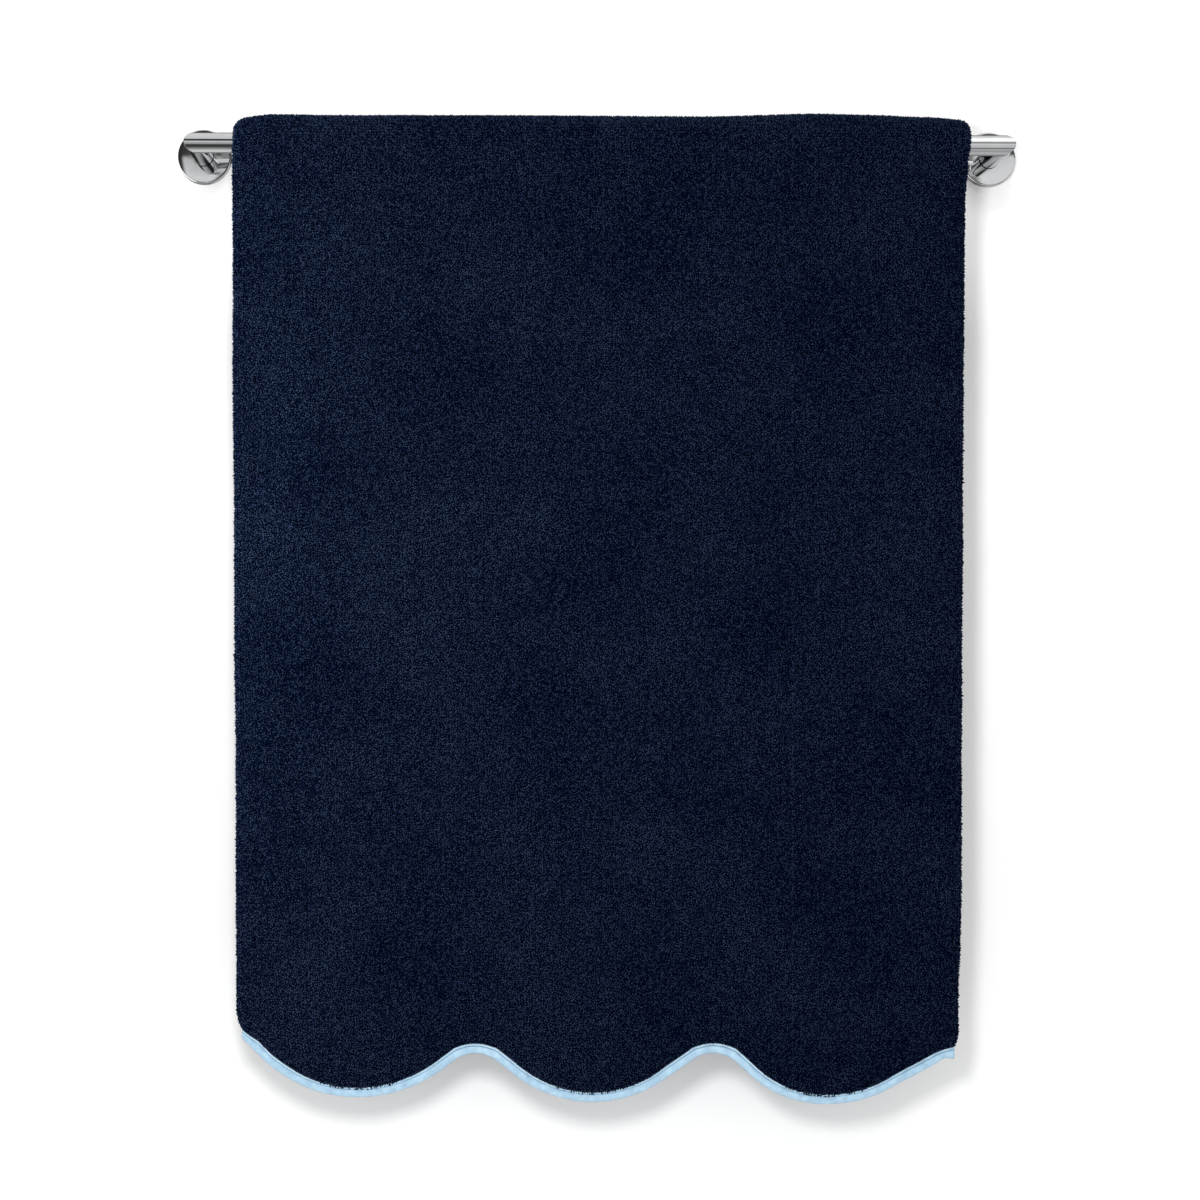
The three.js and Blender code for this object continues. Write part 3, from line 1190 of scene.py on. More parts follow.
class StitchTree(GeometryTree):
    """Lays thread stitches along a path, end to end with a small gap."""

    SEGMENTS = 6
    RINGS = 5
    HALF_LENGTH = 0.44
    SCALE_LOW = 0.9
    SCALE_HIGH = 1.1

    def __init__(self) -> None:
        """Builds the tree."""
        super().__init__("stitches", (
            TreeInput("Pitch", "NodeSocketFloat"),
            TreeInput("Thread", "NodeSocketFloat"),
            TreeInput("Seed", "NodeSocketInt"),
            TreeInput("Material", "NodeSocketMaterial"),
        ))
        path = self.add("GeometryNodeMeshToCurve", None, {0: self.given("Geometry")})
        steps = self.add("GeometryNodeResampleCurve", {"mode": "LENGTH"},
                         {0: path, "Length": self.given("Pitch")})
        tangent = self.add("GeometryNodeInputTangent")
        turn = self.add("FunctionNodeAlignRotationToVector", {"axis": "Z"}, {"Vector": tangent})
        ball = self.add("GeometryNodeMeshUVSphere", None,
                        {"Segments": self.SEGMENTS, "Rings": self.RINGS, "Radius": 1.0})
        slim = self.combine(self.given("Thread"), self.given("Thread"),
                            self.given("Pitch") * self.HALF_LENGTH)
        capsule = self.add("GeometryNodeTransform", None, {0: ball, "Scale": slim})
        size = self.chance(self.SCALE_LOW, self.SCALE_HIGH, 1)
        placed = self.add("GeometryNodeInstanceOnPoints", None, {
            "Points": steps, "Instance": capsule, "Rotation": turn, "Scale": size})
        self.finish(placed)


# Sub-assemblies


@dataclass(frozen=True)
class EndRow:
    """A row of the cloth near its scalloped end, with half the cloth's thickness there."""

    inset: float
    half: float


END_ROWS = (
    EndRow(1.8, 0.8),
    EndRow(10.1, 0.8),
    EndRow(10.3, 1.9),
    EndRow(13.0, 2.8),
    EndRow(17.0, 3.3),
    EndRow(22.0, 3.4),
)


@dataclass(frozen=True)
class HemRow:
    """A row of the strip at a lobe's foot: its share of the way up and its distance out."""

    share: float
    out: float


HEM_ROWS = (
    HemRow(1.0, 2.6),
    HemRow(0.5, 2.9),
    HemRow(0.0, 2.6),
)


@dataclass
class Towel:
    """The terry cloth: its ground and the loops on its visible faces.

    The first bare_rows rows at each end lie inside the binding and carry no loops. At the foot of
    each lobe, a strip of loops lies over the binding's lip.
    """

    form: ClothForm
    ground_step: float = 8.0
    crown_steps: int = 24
    spacing: float = 1.65
    rear_spacing: float = 2.6
    loop_length: float = 3.6
    loop_height: float = 1.9
    yarn: float = 1.6
    swirl: float = 16.0
    front_bands: int = 4
    lobe_x: tuple = (-227.0, -8.0, 210.0)
    lobe_half: float = 58.0
    lobe_columns: int = 59
    lobe_inset: float = 8.3
    lobe_rise: float = 2.0
    lobe_top: float = 10.8
    lobe_spacing: float = 1.45
    side_stops: tuple = (0.0, 0.8, 2.2, 4.5, 9.0)
    side_reach: float = 15.0
    bare_rows: int = 2
    rear_overlap: float = 0.09
    seed: int = 5

    def rows(self) -> list[Row]:
        """Lists the rows of the cloth.

        Returns:
            The rows, from the back end over the rail to the front end.
        """
        rows = [Row(RowKind.END, Drop.BACK, inset=end.inset, half=end.half) for end in END_ROWS]
        back = round(-(self.form.lowest + self.form.back_raised) / self.ground_step)
        rows += [Row(RowKind.HANG, Drop.BACK, share=step / back) for step in range(back - 1, 0, -1)]
        rows += [Row(RowKind.CROWN, angle=math.pi * (1 - step / self.crown_steps))
                 for step in range(self.crown_steps + 1)]
        front = round(-self.form.lowest / self.ground_step)
        rows += [Row(RowKind.HANG, Drop.FRONT, share=step / front) for step in range(1, front)]
        rows += [Row(RowKind.END, Drop.FRONT, inset=end.inset, half=end.half)
                 for end in reversed(END_ROWS)]
        return rows

    def face_grid(self, rows: Sequence[Row], face: Face) -> np.ndarray:
        """Places the points of one face of the cloth.

        Args:
            rows: The cloth's rows.
            face: Which face.

        Returns:
            The points, by row and column.
        """
        stops = np.array(self.side_stops)
        left, right = self.form.band_left + self.side_reach, self.form.band_right - self.side_reach
        inner = np.linspace(left, right, round((right - left) / self.ground_step) + 1)
        return np.array([self.form.row_points(row, face, inner, stops) for row in rows])

    def build_ground(self, finish: bpy.types.Material) -> bpy.types.Object:
        """Builds the closed ground cloth.

        Args:
            finish: Its material.

        Returns:
            The piece.
        """
        rows = self.rows()
        outer = self.face_grid(rows, Face.OUTER)
        inner = self.face_grid(rows, Face.INNER)
        count, width = outer.shape[:2]
        second = count * width
        points = np.concatenate([outer.reshape(-1, 3), inner.reshape(-1, 3)])
        faces = grid_faces(count, width) + grid_faces(count, width, second, flip=True)
        rim = list(range(width)) + [row * width + width - 1 for row in range(1, count)]
        rim += list(range(second - 2, second - width - 1, -1))
        rim += [row * width for row in range(count - 2, 0, -1)]
        for a, b in zip(rim, rim[1:] + rim[:1]):
            faces.append((b, a, a + second, b + second))
        mesh = mesh_of("terry_ground", points, faces)
        turn_outwards(mesh)
        mesh.materials.append(finish)
        return link(mesh, "terry_ground")

    def _hem_patch(self) -> bpy.types.Object:
        """Makes an open strip at the foot of each lobe, where loops lie over the binding's lip.

        Returns:
            The strips, as one object for loops to grow on.
        """
        points, faces = [], []
        for centre in self.lobe_x:
            x = np.linspace(centre - self.lobe_half, centre + self.lobe_half, self.lobe_columns)
            lowest = self.lobe_inset + self.lobe_rise * ((x - centre) / self.lobe_half) ** 2
            middle = self.form.edge_stand_off(Drop.FRONT, x)
            faces += grid_faces(len(HEM_ROWS), len(x), len(points) * len(x), flip=True)
            for row in HEM_ROWS:
                inset = lowest + (self.lobe_top - lowest) * row.share
                z = self.form.inset_height(Drop.FRONT, x, inset)
                points.append(self.form.hang(Drop.FRONT, x, z, middle + row.out))
        name = "pile_hem_base"
        return link(mesh_of(name, np.concatenate(points), faces), name)

    @staticmethod
    def _wrapped(outer: np.ndarray, inner: np.ndarray) -> np.ndarray:
        """Carries the outer face of the cloth round both side edges."""
        return np.concatenate([inner[:, :1], outer, inner[:, -1:]], axis=1)

    @staticmethod
    def _patch(grid: np.ndarray, flip: bool, name: str) -> bpy.types.Object:
        """Makes an open piece of a face, for loops to grow on.

        Args:
            grid: Points by row and column.
            flip: Whether the faces turn the other way.
            name: The piece's name.

        Returns:
            The piece.
        """
        rows, columns = grid.shape[:2]
        mesh = mesh_of(name, grid.reshape(-1, 3), grid_faces(rows, columns, flip=flip))
        return link(mesh, name)

    def build_pile(self, tree: PileTree, finish: bpy.types.Material) -> list[bpy.types.Object]:
        """Grows the loops on the faces that show.

        Args:
            tree: The pile's geometry tree.
            finish: The loops' material.

        Returns:
            One piece for each part of the cloth.
        """
        rows = self.rows()
        first = next(i for i, row in enumerate(rows) if row.kind is RowKind.CROWN)
        inner = self.face_grid(rows, Face.INNER)
        outer = self._wrapped(self.face_grid(rows, Face.OUTER), inner)
        parts = []
        front = outer[first:len(rows) - self.bare_rows]
        cuts = np.linspace(0, front.shape[1] - 1, self.front_bands + 1).round().astype(int)
        for band in range(self.front_bands):
            grid = front[:, cuts[band]:cuts[band + 1] + 1]
            name = f"pile_front_{band + 1}"
            parts.append((self._patch(grid, True, name + "_base"), name, self.spacing))
        back = outer[self.bare_rows:first + 1]
        parts.append((self._patch(back, True, "pile_back_base"), "pile_back", self.rear_spacing))
        covered = (self.form.lowest + self.form.back_raised) / self.form.lowest - self.rear_overlap
        start = next(i for i, row in enumerate(rows)
                     if row.kind is RowKind.HANG and row.drop is Drop.FRONT and row.share > covered)
        rear = inner[start:len(rows) - self.bare_rows]
        parts.append((self._patch(rear, False, "pile_rear_base"), "pile_rear", self.rear_spacing))
        parts.append((self._hem_patch(), "pile_hem", self.lobe_spacing))
        pieces = []
        for index, (base, name, spacing) in enumerate(parts):
            widen = spacing / self.spacing
            values = {
                "Spacing": spacing * MM,
                "Length": self.loop_length * widen * MM,
                "Height": self.loop_height * MM,
                "Yarn": self.yarn * widen * MM,
                "Swirl": self.swirl,
                "Seed": self.seed + index,
                "Material": finish,
            }
            piece = tree.grow(base, values, name)
            LOG.info("%s has %d triangles", name, len(piece.data.polygons))
            pieces.append(piece)
        return pieces


@dataclass(frozen=True)
class TapePoint:
    """A point of the tape's section, with its share of painted shade and its share of painted highlight on
    the lip.
    """

    inset: float
    out: float
    groove: float = 0.0
    lip: float = 0.0


# Half of the section, from the fold to the inner edge: distance in, distance out, share of painted shade
# (along the fold, in the seam's groove and inside the tape) and share of painted highlight along the lip
TAPE_SECTION = (
    TapePoint(0.0, 0.0, 0.45),
    TapePoint(0.22, 0.75, 0.35),
    TapePoint(0.8, 1.4, 0.08),
    TapePoint(1.9, 1.85),
    TapePoint(3.6, 2.1),
    TapePoint(5.4, 2.12),
    TapePoint(6.5, 2.0),
    TapePoint(6.95, 1.72, 0.6),
    TapePoint(7.2, 1.5, 1.0),
    TapePoint(7.45, 1.72, 0.6),
    TapePoint(7.8, 2.45, 0.0, 0.2),
    TapePoint(8.5, 3.05, 0.0, 0.9),
    TapePoint(9.15, 2.85, 0.0, 1.0),
    TapePoint(9.55, 2.0, 0.0, 0.6),
    TapePoint(9.5, 1.15, 0.6),
    TapePoint(1.4, 1.1, 1.0),
)


@dataclass
class Binding:
    """Tape folded over one scalloped end, with its sewing.

    The tape puckers most near its seam, and a few cross tucks stand at tuck_x. The painted shade in
    the seam's groove is darkest at a few listed places, the painted highlight on the lip is palest on
    flanks that fall to the right, and the right end flares in a small tail.
    """

    form: ClothForm
    drop: Drop
    step: float
    width: float = 9.5
    stitch_inset: float = 7.2
    stitch_out: float = 1.72
    stitch_pitch: float = 2.9
    stitch_margin: float = 2.0
    stitch_path_points: int = 500
    thread: float = 0.17
    pucker: float = 0.34
    pucker_waves: int = 22
    pucker_shortest: float = 4.0
    pucker_longest: float = 15.0
    pucker_least: float = 0.45
    pucker_slant: float = 0.8
    seam_width: float = 4.0
    smooth_fold: float = 2.0
    tuck_height: float = 0.75
    tuck_width: float = 1.1
    tuck_middle: float = 5.0
    tuck_slant: float = 0.25
    tuck_x: tuple = (97.0, 100.4, 104.0, -116.0)
    groove_shade_x: tuple = (-118.0, 103.5, 308.0)
    groove_shade_width: float = 30.0
    groove_shade_least: float = 0.2
    lip_highlight_least: float = 0.25
    lip_slope: float = 0.5
    measured_line: int = 4
    tail_run: float = 9.0
    tail_depth: float = 6.0
    tail_lift: float = 1.3
    tail_lift_width: float = 0.5
    tail_drop: float = 1.5
    tail_drop_width: float = 0.4
    seed: int = 3

    @property
    def label(self) -> str:
        """The drop's name as it stands in the names of pieces."""
        return self.drop.name.lower()

    def _uneven(self, x: np.ndarray, inset: float, side: int) -> np.ndarray:
        """Works out the puckers and cross tucks of the tape.

        Args:
            x: Places along the tape.
            inset: Distance in from the fold.
            side: 1 for the side that shows, -1 for the side towards the rail.

        Returns:
            Distances out from the smooth form.
        """
        waves = Ripple(self.seed + side, self.pucker_waves, self.pucker_shortest,
                       self.pucker_longest, self.pucker)
        near_seam = math.exp(-(((inset - self.stitch_inset) / self.seam_width) ** 2))
        drawn = self.pucker_least + (1 - self.pucker_least) * near_seam
        total = waves(x, np.full_like(x, inset * self.pucker_slant)) * drawn
        raised = self.tuck_height * math.sin(math.pi * min(inset / self.width, 1))
        for place in self.tuck_x:
            across = x - place + (inset - self.tuck_middle) * self.tuck_slant
            total = total + raised * np.exp(-((across / self.tuck_width) ** 2))
        return total * min(inset / self.smooth_fold, 1.0)

    def _line(self, x: np.ndarray, inset: float, out: float, uneven: float = 1.0) -> np.ndarray:
        """Places one line of the tape along the edge.

        Args:
            x: Places along the tape.
            inset: Distance in from the fold.
            out: Distance out from the tape's middle, negative on the side towards the rail.
            uneven: How much of the puckers the line takes.

        Returns:
            The points.
        """
        side = 1 if out >= 0 else -1
        extra = self._uneven(x, inset, side) * side * uneven
        distance = self.form.edge_stand_off(self.drop, x) + out + extra
        z = self.form.inset_height(self.drop, x, self._tailed(x, inset))
        return self.form.hang(self.drop, x, z, distance)

    def _tailed(self, x: np.ndarray, inset: float) -> np.ndarray:
        """Works the tape's small flared tail into the distance from the fold.

        Args:
            x: Places along the tape.
            inset: Distance in from the fold.

        Returns:
            The distance at each place.
        """
        from_end = (self.form.band_right - x) / self.tail_run
        fold_share = max(1 - inset / self.tail_depth, 0.0)
        lift = self.tail_lift * np.exp(-((from_end - 1.0) / self.tail_lift_width) ** 2)
        drop = self.tail_drop * np.exp(-((from_end / self.tail_drop_width) ** 2))
        return inset + (lift - drop) * fold_share

    def build(self, finish: bpy.types.Material) -> bpy.types.Object:
        """Builds the folded tape.

        Args:
            finish: Its material.

        Returns:
            The piece.
        """
        left, right = self.form.band_left, self.form.band_right
        x = np.linspace(left, right, round((right - left) / self.step) + 1)
        ring = list(TAPE_SECTION)
        ring += [TapePoint(at.inset, -at.out, at.groove, at.lip) for at in reversed(TAPE_SECTION[1:])]
        inside = {len(TAPE_SECTION) - 1, len(TAPE_SECTION)}
        grid = np.array([self._line(x, at.inset, at.out, 0.0 if index in inside else 1.0)
                         for index, at in enumerate(ring)])
        count, length = grid.shape[:2]
        faces = []
        for row in range(count):
            after = (row + 1) % count
            for column in range(length - 1):
                a, b = row * length + column, after * length + column
                faces.append((a, a + 1, b + 1, b))
        faces.append(tuple(row * length for row in range(count)))
        faces.append(tuple(row * length + length - 1 for row in reversed(range(count))))
        mesh = mesh_of(f"tape_{self.label}", grid.reshape(-1, 3), faces)
        turn_outwards(mesh)
        for name, values in self._shading(x, grid, ring).items():
            mesh.attributes.new(name, "FLOAT", "POINT").data.foreach_set("value", values)
        mesh.materials.append(finish)
        return link(mesh, mesh.name)

    def _shading(self, x: np.ndarray, grid: np.ndarray, ring: list[TapePoint]) -> dict[str, np.ndarray]:
        """Works out what the tape's finish reads.

        Args:
            x: Places along the tape.
            grid: The tape's points, by line of the section and place.
            ring: The points of the section.

        Returns:
            Values for each point, by attribute: places along and across the tape, in metres, and the
            shares of painted shade in the groove and the creases and of painted highlight on the lip.
        """
        steps = np.linalg.norm(np.diff(grid[self.measured_line], axis=0), axis=1)
        along = np.concatenate([[0.0], np.cumsum(steps)])
        across = np.cumsum([0.0] + [math.hypot(at.inset - before.inset, at.out - before.out)
                                    for before, at in zip(ring, ring[1:])])
        # creases: the pucker troughs, which the finish darkens as painted shade
        creases = [-self._uneven(x, at.inset, 1 if at.out >= 0 else -1) for at in ring]
        # painted shade in the seam's groove, strongest near the listed places
        open_share = sum(np.exp(-(((x - place) / self.groove_shade_width) ** 2)) for place in self.groove_shade_x)
        groove_shade_strength = self.groove_shade_least + (1 - self.groove_shade_least) * open_share
        # painted highlight on the lip, strongest on flanks that fall to the right
        falling = np.clip(-np.gradient(self.form.edge.height(x), x) / self.lip_slope, 0, 1)
        lip_highlight_strength = self.lip_highlight_least + (1 - self.lip_highlight_least) * falling
        return {
            "along": np.tile(along, len(ring)) * MM,
            "across": np.repeat(across, len(x)) * MM,
            "groove": np.concatenate([at.groove * groove_shade_strength for at in ring]),
            "lip": np.concatenate([at.lip * lip_highlight_strength for at in ring]),
            "crease": np.clip(np.concatenate(creases) / (2 * self.pucker), 0, 1),
        }

    def build_stitches(self, tree: StitchTree, finish: bpy.types.Material) -> bpy.types.Object:
        """Lays the stitches along both sides of the tape.

        Args:
            tree: The stitches' geometry tree.
            finish: The thread's material.

        Returns:
            The piece.
        """
        left, right = self.form.band_left + self.stitch_margin, self.form.band_right - self.stitch_margin
        x = np.linspace(left, right, self.stitch_path_points)
        lines = [self._line(x, self.stitch_inset, side * self.stitch_out) for side in (1, -1)]
        edges = [(start + i, start + i + 1) for start in (0, len(x)) for i in range(len(x) - 1)]
        mesh = bpy.data.meshes.new(f"seam_path_{self.label}")
        mesh.from_pydata((np.concatenate(lines) * MM).tolist(), edges, [])
        values = {
            "Pitch": self.stitch_pitch * MM,
            "Thread": self.thread * MM,
            "Seed": self.seed,
            "Material": finish,
        }
        return tree.grow(link(mesh, mesh.name), values, f"stitches_{self.label}")


@dataclass
class TowelRail:
    """The chrome rail: mitred tube, posts, wall flanges and set screws."""

    sizes: RailSizes
    tube_sides: int = 96
    seam_chamfer: float = 0.35
    seam_ring: float = 3.0
    mitre_gap: float = 0.42
    socket_depth: float = 6.0
    socket_chamfer: float = 0.35
    back_chamfer: float = 0.4
    edge_round: float = 1.4
    edge_steps: int = 8
    fit: float = 0.3
    screw_sides: int = 24
    screw_chamfer: float = 0.2
    key_share: float = 0.55
    key_depth: float = 1.2
    key_hexed: float = 0.12

    def _cut_ring(self, centre: Vector, axis: Vector, normal: Vector, reach: float,
                  back: float) -> list[Vector]:
        """Places a ring of a tube, slanted like the plane that cuts the tube there.

        Args:
            centre: Where the plane crosses the tube's axis.
            axis: The tube's direction.
            normal: The plane's normal.
            reach: The ring's radius.
            back: How far the ring lies on from the plane, along the tube.

        Returns:
            The points.
        """
        up = Vector((0, 0, 1))
        side = axis.cross(up)
        points = []
        for step in range(self.tube_sides):
            turn = 2 * math.pi * step / self.tube_sides
            out = (side * math.cos(turn) + up * math.sin(turn)) * reach
            slide = -out.dot(normal) / axis.dot(normal)
            points.append(centre + out + axis * (slide + back))
        return points

    def _tube(self, name: str, start: Vector, finish_at: Vector, cuts: tuple[Vector, Vector],
              material: bpy.types.Material) -> bpy.types.Object:
        """Builds a tube between two points, its ends cut by planes through them.

        Args:
            name: The piece's name.
            start: Where the axis starts.
            finish_at: Where it ends.
            cuts: Normals of the planes that cut the start and the end.
            material: Its material.

        Returns:
            The piece.
        """
        axis = (finish_at - start).normalized()
        radius, chamfer = self.sizes.tube_radius, self.seam_chamfer
        steps = ((radius - chamfer, 0.0), (radius, chamfer), (radius, chamfer + self.seam_ring))
        points = []
        for reach, back in steps:
            points += self._cut_ring(start, axis, cuts[0], reach, back)
        for reach, back in reversed(steps):
            points += self._cut_ring(finish_at, axis, cuts[1], reach, -back)
        rings = 2 * len(steps)
        faces = ring_faces(rings, self.tube_sides)
        faces.append(tuple(range(self.tube_sides)))
        faces.append(tuple(range((rings - 1) * self.tube_sides, rings * self.tube_sides)))
        return turned_piece(name, points, faces, material)

    def _lathe(self, name: str, profile: list[tuple[float, float]], x: float,
               material: bpy.types.Material) -> bpy.types.Object:
        """Builds a body turned about an axis along Y, from a closed profile of radius and depth.

        Args:
            name: The piece's name.
            profile: Radius and distance out from the wall, starting and ending on the axis.
            x: Where the axis lies.
            material: Its material.

        Returns:
            The piece.
        """
        count = self.tube_sides
        rims = profile[1:-1]
        points = [(x, -profile[0][1], 0.0)]
        for radius, depth in rims:
            for step in range(count):
                turn = 2 * math.pi * step / count
                points.append((x + radius * math.cos(turn), -depth, radius * math.sin(turn)))
        points.append((x, -profile[-1][1], 0.0))
        last = len(points) - 1
        faces = ring_faces(len(rims), count, start=1)
        for step in range(count):
            after = (step + 1) % count
            faces.append((0, 1 + step, 1 + after))
            faces.append((last, last - count + after, last - count + step))
        return turned_piece(name, points, faces, material)

    def build_tubes(self, material: bpy.types.Material) -> list[bpy.types.Object]:
        """Builds the rail and its two posts.

        Args:
            material: The polished metal.

        Returns:
            The rail, the left and the right post.
        """
        sizes = self.sizes
        axis_y, gap = -sizes.wall_to_axis, self.mitre_gap / 2
        left, right = Vector((-sizes.post_x + gap, axis_y, 0)), Vector((sizes.post_x - gap, axis_y, 0))
        pieces = [self._tube("rail", left, right, (Vector((-1, 1, 0)), Vector((1, 1, 0))), material)]
        back = -sizes.flange_thickness + self.socket_depth - self.fit
        for side, label in ((-1, "left"), (1, "right")):
            front = Vector((side * sizes.post_x, axis_y + gap, 0))
            wall = Vector((side * sizes.post_x, back, 0))
            cuts = (Vector((side, 1, 0)), Vector((0, 1, 0)))
            pieces.append(self._tube(f"rail_post_{label}", front, wall, cuts, material))
        return pieces

    def build_flange(self, side: int, label: str, material: bpy.types.Material) -> bpy.types.Object:
        """Builds one wall flange with the socket for its post.

        Args:
            side: -1 for the left, 1 for the right.
            label: The side's name.
            material: The polished metal.

        Returns:
            The piece.
        """
        sizes = self.sizes
        outer, thick, curve = sizes.flange_radius, sizes.flange_thickness, self.edge_round
        profile = [(0.0, 0.0), (outer - self.back_chamfer, 0.0), (outer, self.back_chamfer)]
        for step in range(self.edge_steps + 1):
            turn = math.pi / 2 * step / self.edge_steps
            profile.append((outer - curve + curve * math.cos(turn), thick - curve + curve * math.sin(turn)))
        socket, floor = sizes.tube_radius + self.fit, thick - self.socket_depth
        profile += [(socket + self.socket_chamfer, thick), (socket, thick - self.socket_chamfer)]
        profile += [(socket, floor), (0.0, floor)]
        return self._lathe(f"rail_flange_{label}", profile, side * sizes.post_x, material)

    def build_screw(self, side: int, label: str, material: bpy.types.Material) -> bpy.types.Object:
        """Builds one set screw with its hexagon socket, standing in the flange's rim.

        Args:
            side: -1 for the left, 1 for the right.
            label: The side's name.
            material: The polished metal.

        Returns:
            The piece.
        """
        sizes, count = self.sizes, self.screw_sides
        x, y = side * sizes.post_x, -sizes.flange_thickness / 2
        key, sixth = sizes.screw_radius * self.key_share, math.pi / 3
        rings = (
            (sizes.screw_radius, sizes.screw_high, 0.0),
            (sizes.screw_radius, sizes.screw_low + self.screw_chamfer, 0.0),
            (sizes.screw_radius - self.screw_chamfer, sizes.screw_low, 0.0),
            (key, sizes.screw_low, self.key_hexed),
            (key, sizes.screw_low + self.key_depth, self.key_hexed),
        )
        points = []
        for radius, z, hexed in rings:
            for step in range(count):
                turn = 2 * math.pi * step / count
                sector = (turn + sixth / 2) % sixth - sixth / 2
                reach = radius * (1 - hexed + hexed / math.cos(sector))
                points.append((x + reach * math.cos(turn), y + reach * math.sin(turn), z))
        faces = ring_faces(len(rings), count)
        faces.append(tuple(range(count)))
        faces.append(tuple(range((len(rings) - 1) * count, len(rings) * count)))
        return turned_piece(f"set_screw_{label}", points, faces, material)


@dataclass(frozen=True)
class StudioBand:
    """Greys that polished metal mirrors at one height of the studio, in degrees over the horizon."""

    height: float
    far_left: float
    left: float
    mid_left: float
    mid_right: float
    right: float
    rear_left: float
    rear_right: float


STUDIO_BANDS = (
    StudioBand(-90, 0.40, 0.40, 0.45, 0.45, 0.30, 0.50, 0.40),
    StudioBand(-72, 0.26, 0.26, 0.45, 0.45, 0.34, 0.62, 0.45),
    StudioBand(-62, 0.12, 0.12, 0.45, 0.45, 0.40, 0.66, 0.50),
    StudioBand(-50, 0.05, 0.05, 0.45, 0.45, 0.46, 0.62, 0.45),
    StudioBand(-45, 0.04, 0.04, 0.45, 0.45, 0.12, 0.60, 0.40),
    StudioBand(-39, 0.04, 0.04, 0.45, 0.45, 0.12, 0.50, 0.30),
    StudioBand(-35, 0.05, 0.05, 0.45, 0.45, 0.52, 0.30, 0.20),
    StudioBand(-28, 0.07, 0.07, 0.45, 0.45, 0.54, 0.06, 0.06),
    StudioBand(-21, 0.36, 0.36, 0.45, 0.45, 0.56, 0.06, 0.10),
    StudioBand(-15, 0.03, 0.38, 0.22, 0.02, 0.57, 0.22, 0.42),
    StudioBand(-4, 0.03, 0.44, 0.22, 0.02, 0.60, 0.20, 0.44),
    StudioBand(3, 0.03, 0.64, 0.22, 0.20, 0.68, 0.05, 0.38),
    StudioBand(7, 0.03, 0.70, 0.22, 0.20, 0.72, 0.04, 0.03),
    StudioBand(11.8, 0.03, 0.48, 0.22, 0.20, 0.66, 0.04, 0.03),
    StudioBand(11.95, 0.03, 0.06, 0.22, 0.20, 0.66, 0.04, 0.03),
    StudioBand(12.1, 0.03, 0.05, 0.22, 0.20, 0.66, 0.04, 0.03),
    StudioBand(12.25, 0.03, 0.04, 0.22, 0.20, 0.05, 0.04, 0.03),
    StudioBand(17, 0.03, 0.05, 0.22, 0.20, 0.12, 0.04, 0.03),
    StudioBand(24, 0.04, 0.04, 0.04, 0.30, 0.30, 0.04, 0.04),
    StudioBand(30, 0.04, 0.04, 0.04, 0.75, 0.75, 0.05, 0.05),
    StudioBand(36, 0.60, 0.60, 0.60, 1.00, 1.00, 0.08, 0.10),
    StudioBand(45, 0.66, 0.66, 0.66, 1.30, 1.30, 0.30, 0.40),
    StudioBand(66, 0.68, 0.68, 0.68, 1.30, 1.30, 0.68, 0.68),
    StudioBand(76, 0.70, 0.70, 0.70, 0.85, 0.85, 0.72, 0.72),
    StudioBand(90, 0.68, 0.68, 0.68, 0.80, 0.80, 0.72, 0.72),
)


@dataclass(frozen=True)
class StudioEdge:
    """Where the front of the studio passes into its next column, in shares of the way right."""

    column: str
    start: float
    end: float


FRONT_EDGES = (
    StudioEdge("left", -0.22, -0.20),
    StudioEdge("mid_left", -0.09, -0.06),
    StudioEdge("mid_right", 0.0, 0.03),
    StudioEdge("right", 0.17, 0.20),
)


@dataclass(frozen=True)
class Lamp:
    """A soft lamp, with its sizes and places in metres and its power in watts."""

    name: str
    shape: str
    width: float
    height: float
    power: float
    at: tuple
    towards: tuple


LAMPS = (
    Lamp("key", "ELLIPSE", 0.24, 0.28, 9.5, (-0.2, -1.35, -0.27), (-0.2, -0.07, -0.27)),
    Lamp("side", "RECTANGLE", 0.12, 0.9, 3.6, (-0.62, -0.36, -0.36), (-0.25, -0.07, -0.40)),
    Lamp("wash", "RECTANGLE", 1.2, 0.2, 12.0, (0.0, -0.45, 1.1), (0.0, 0.0, 0.05)),
)


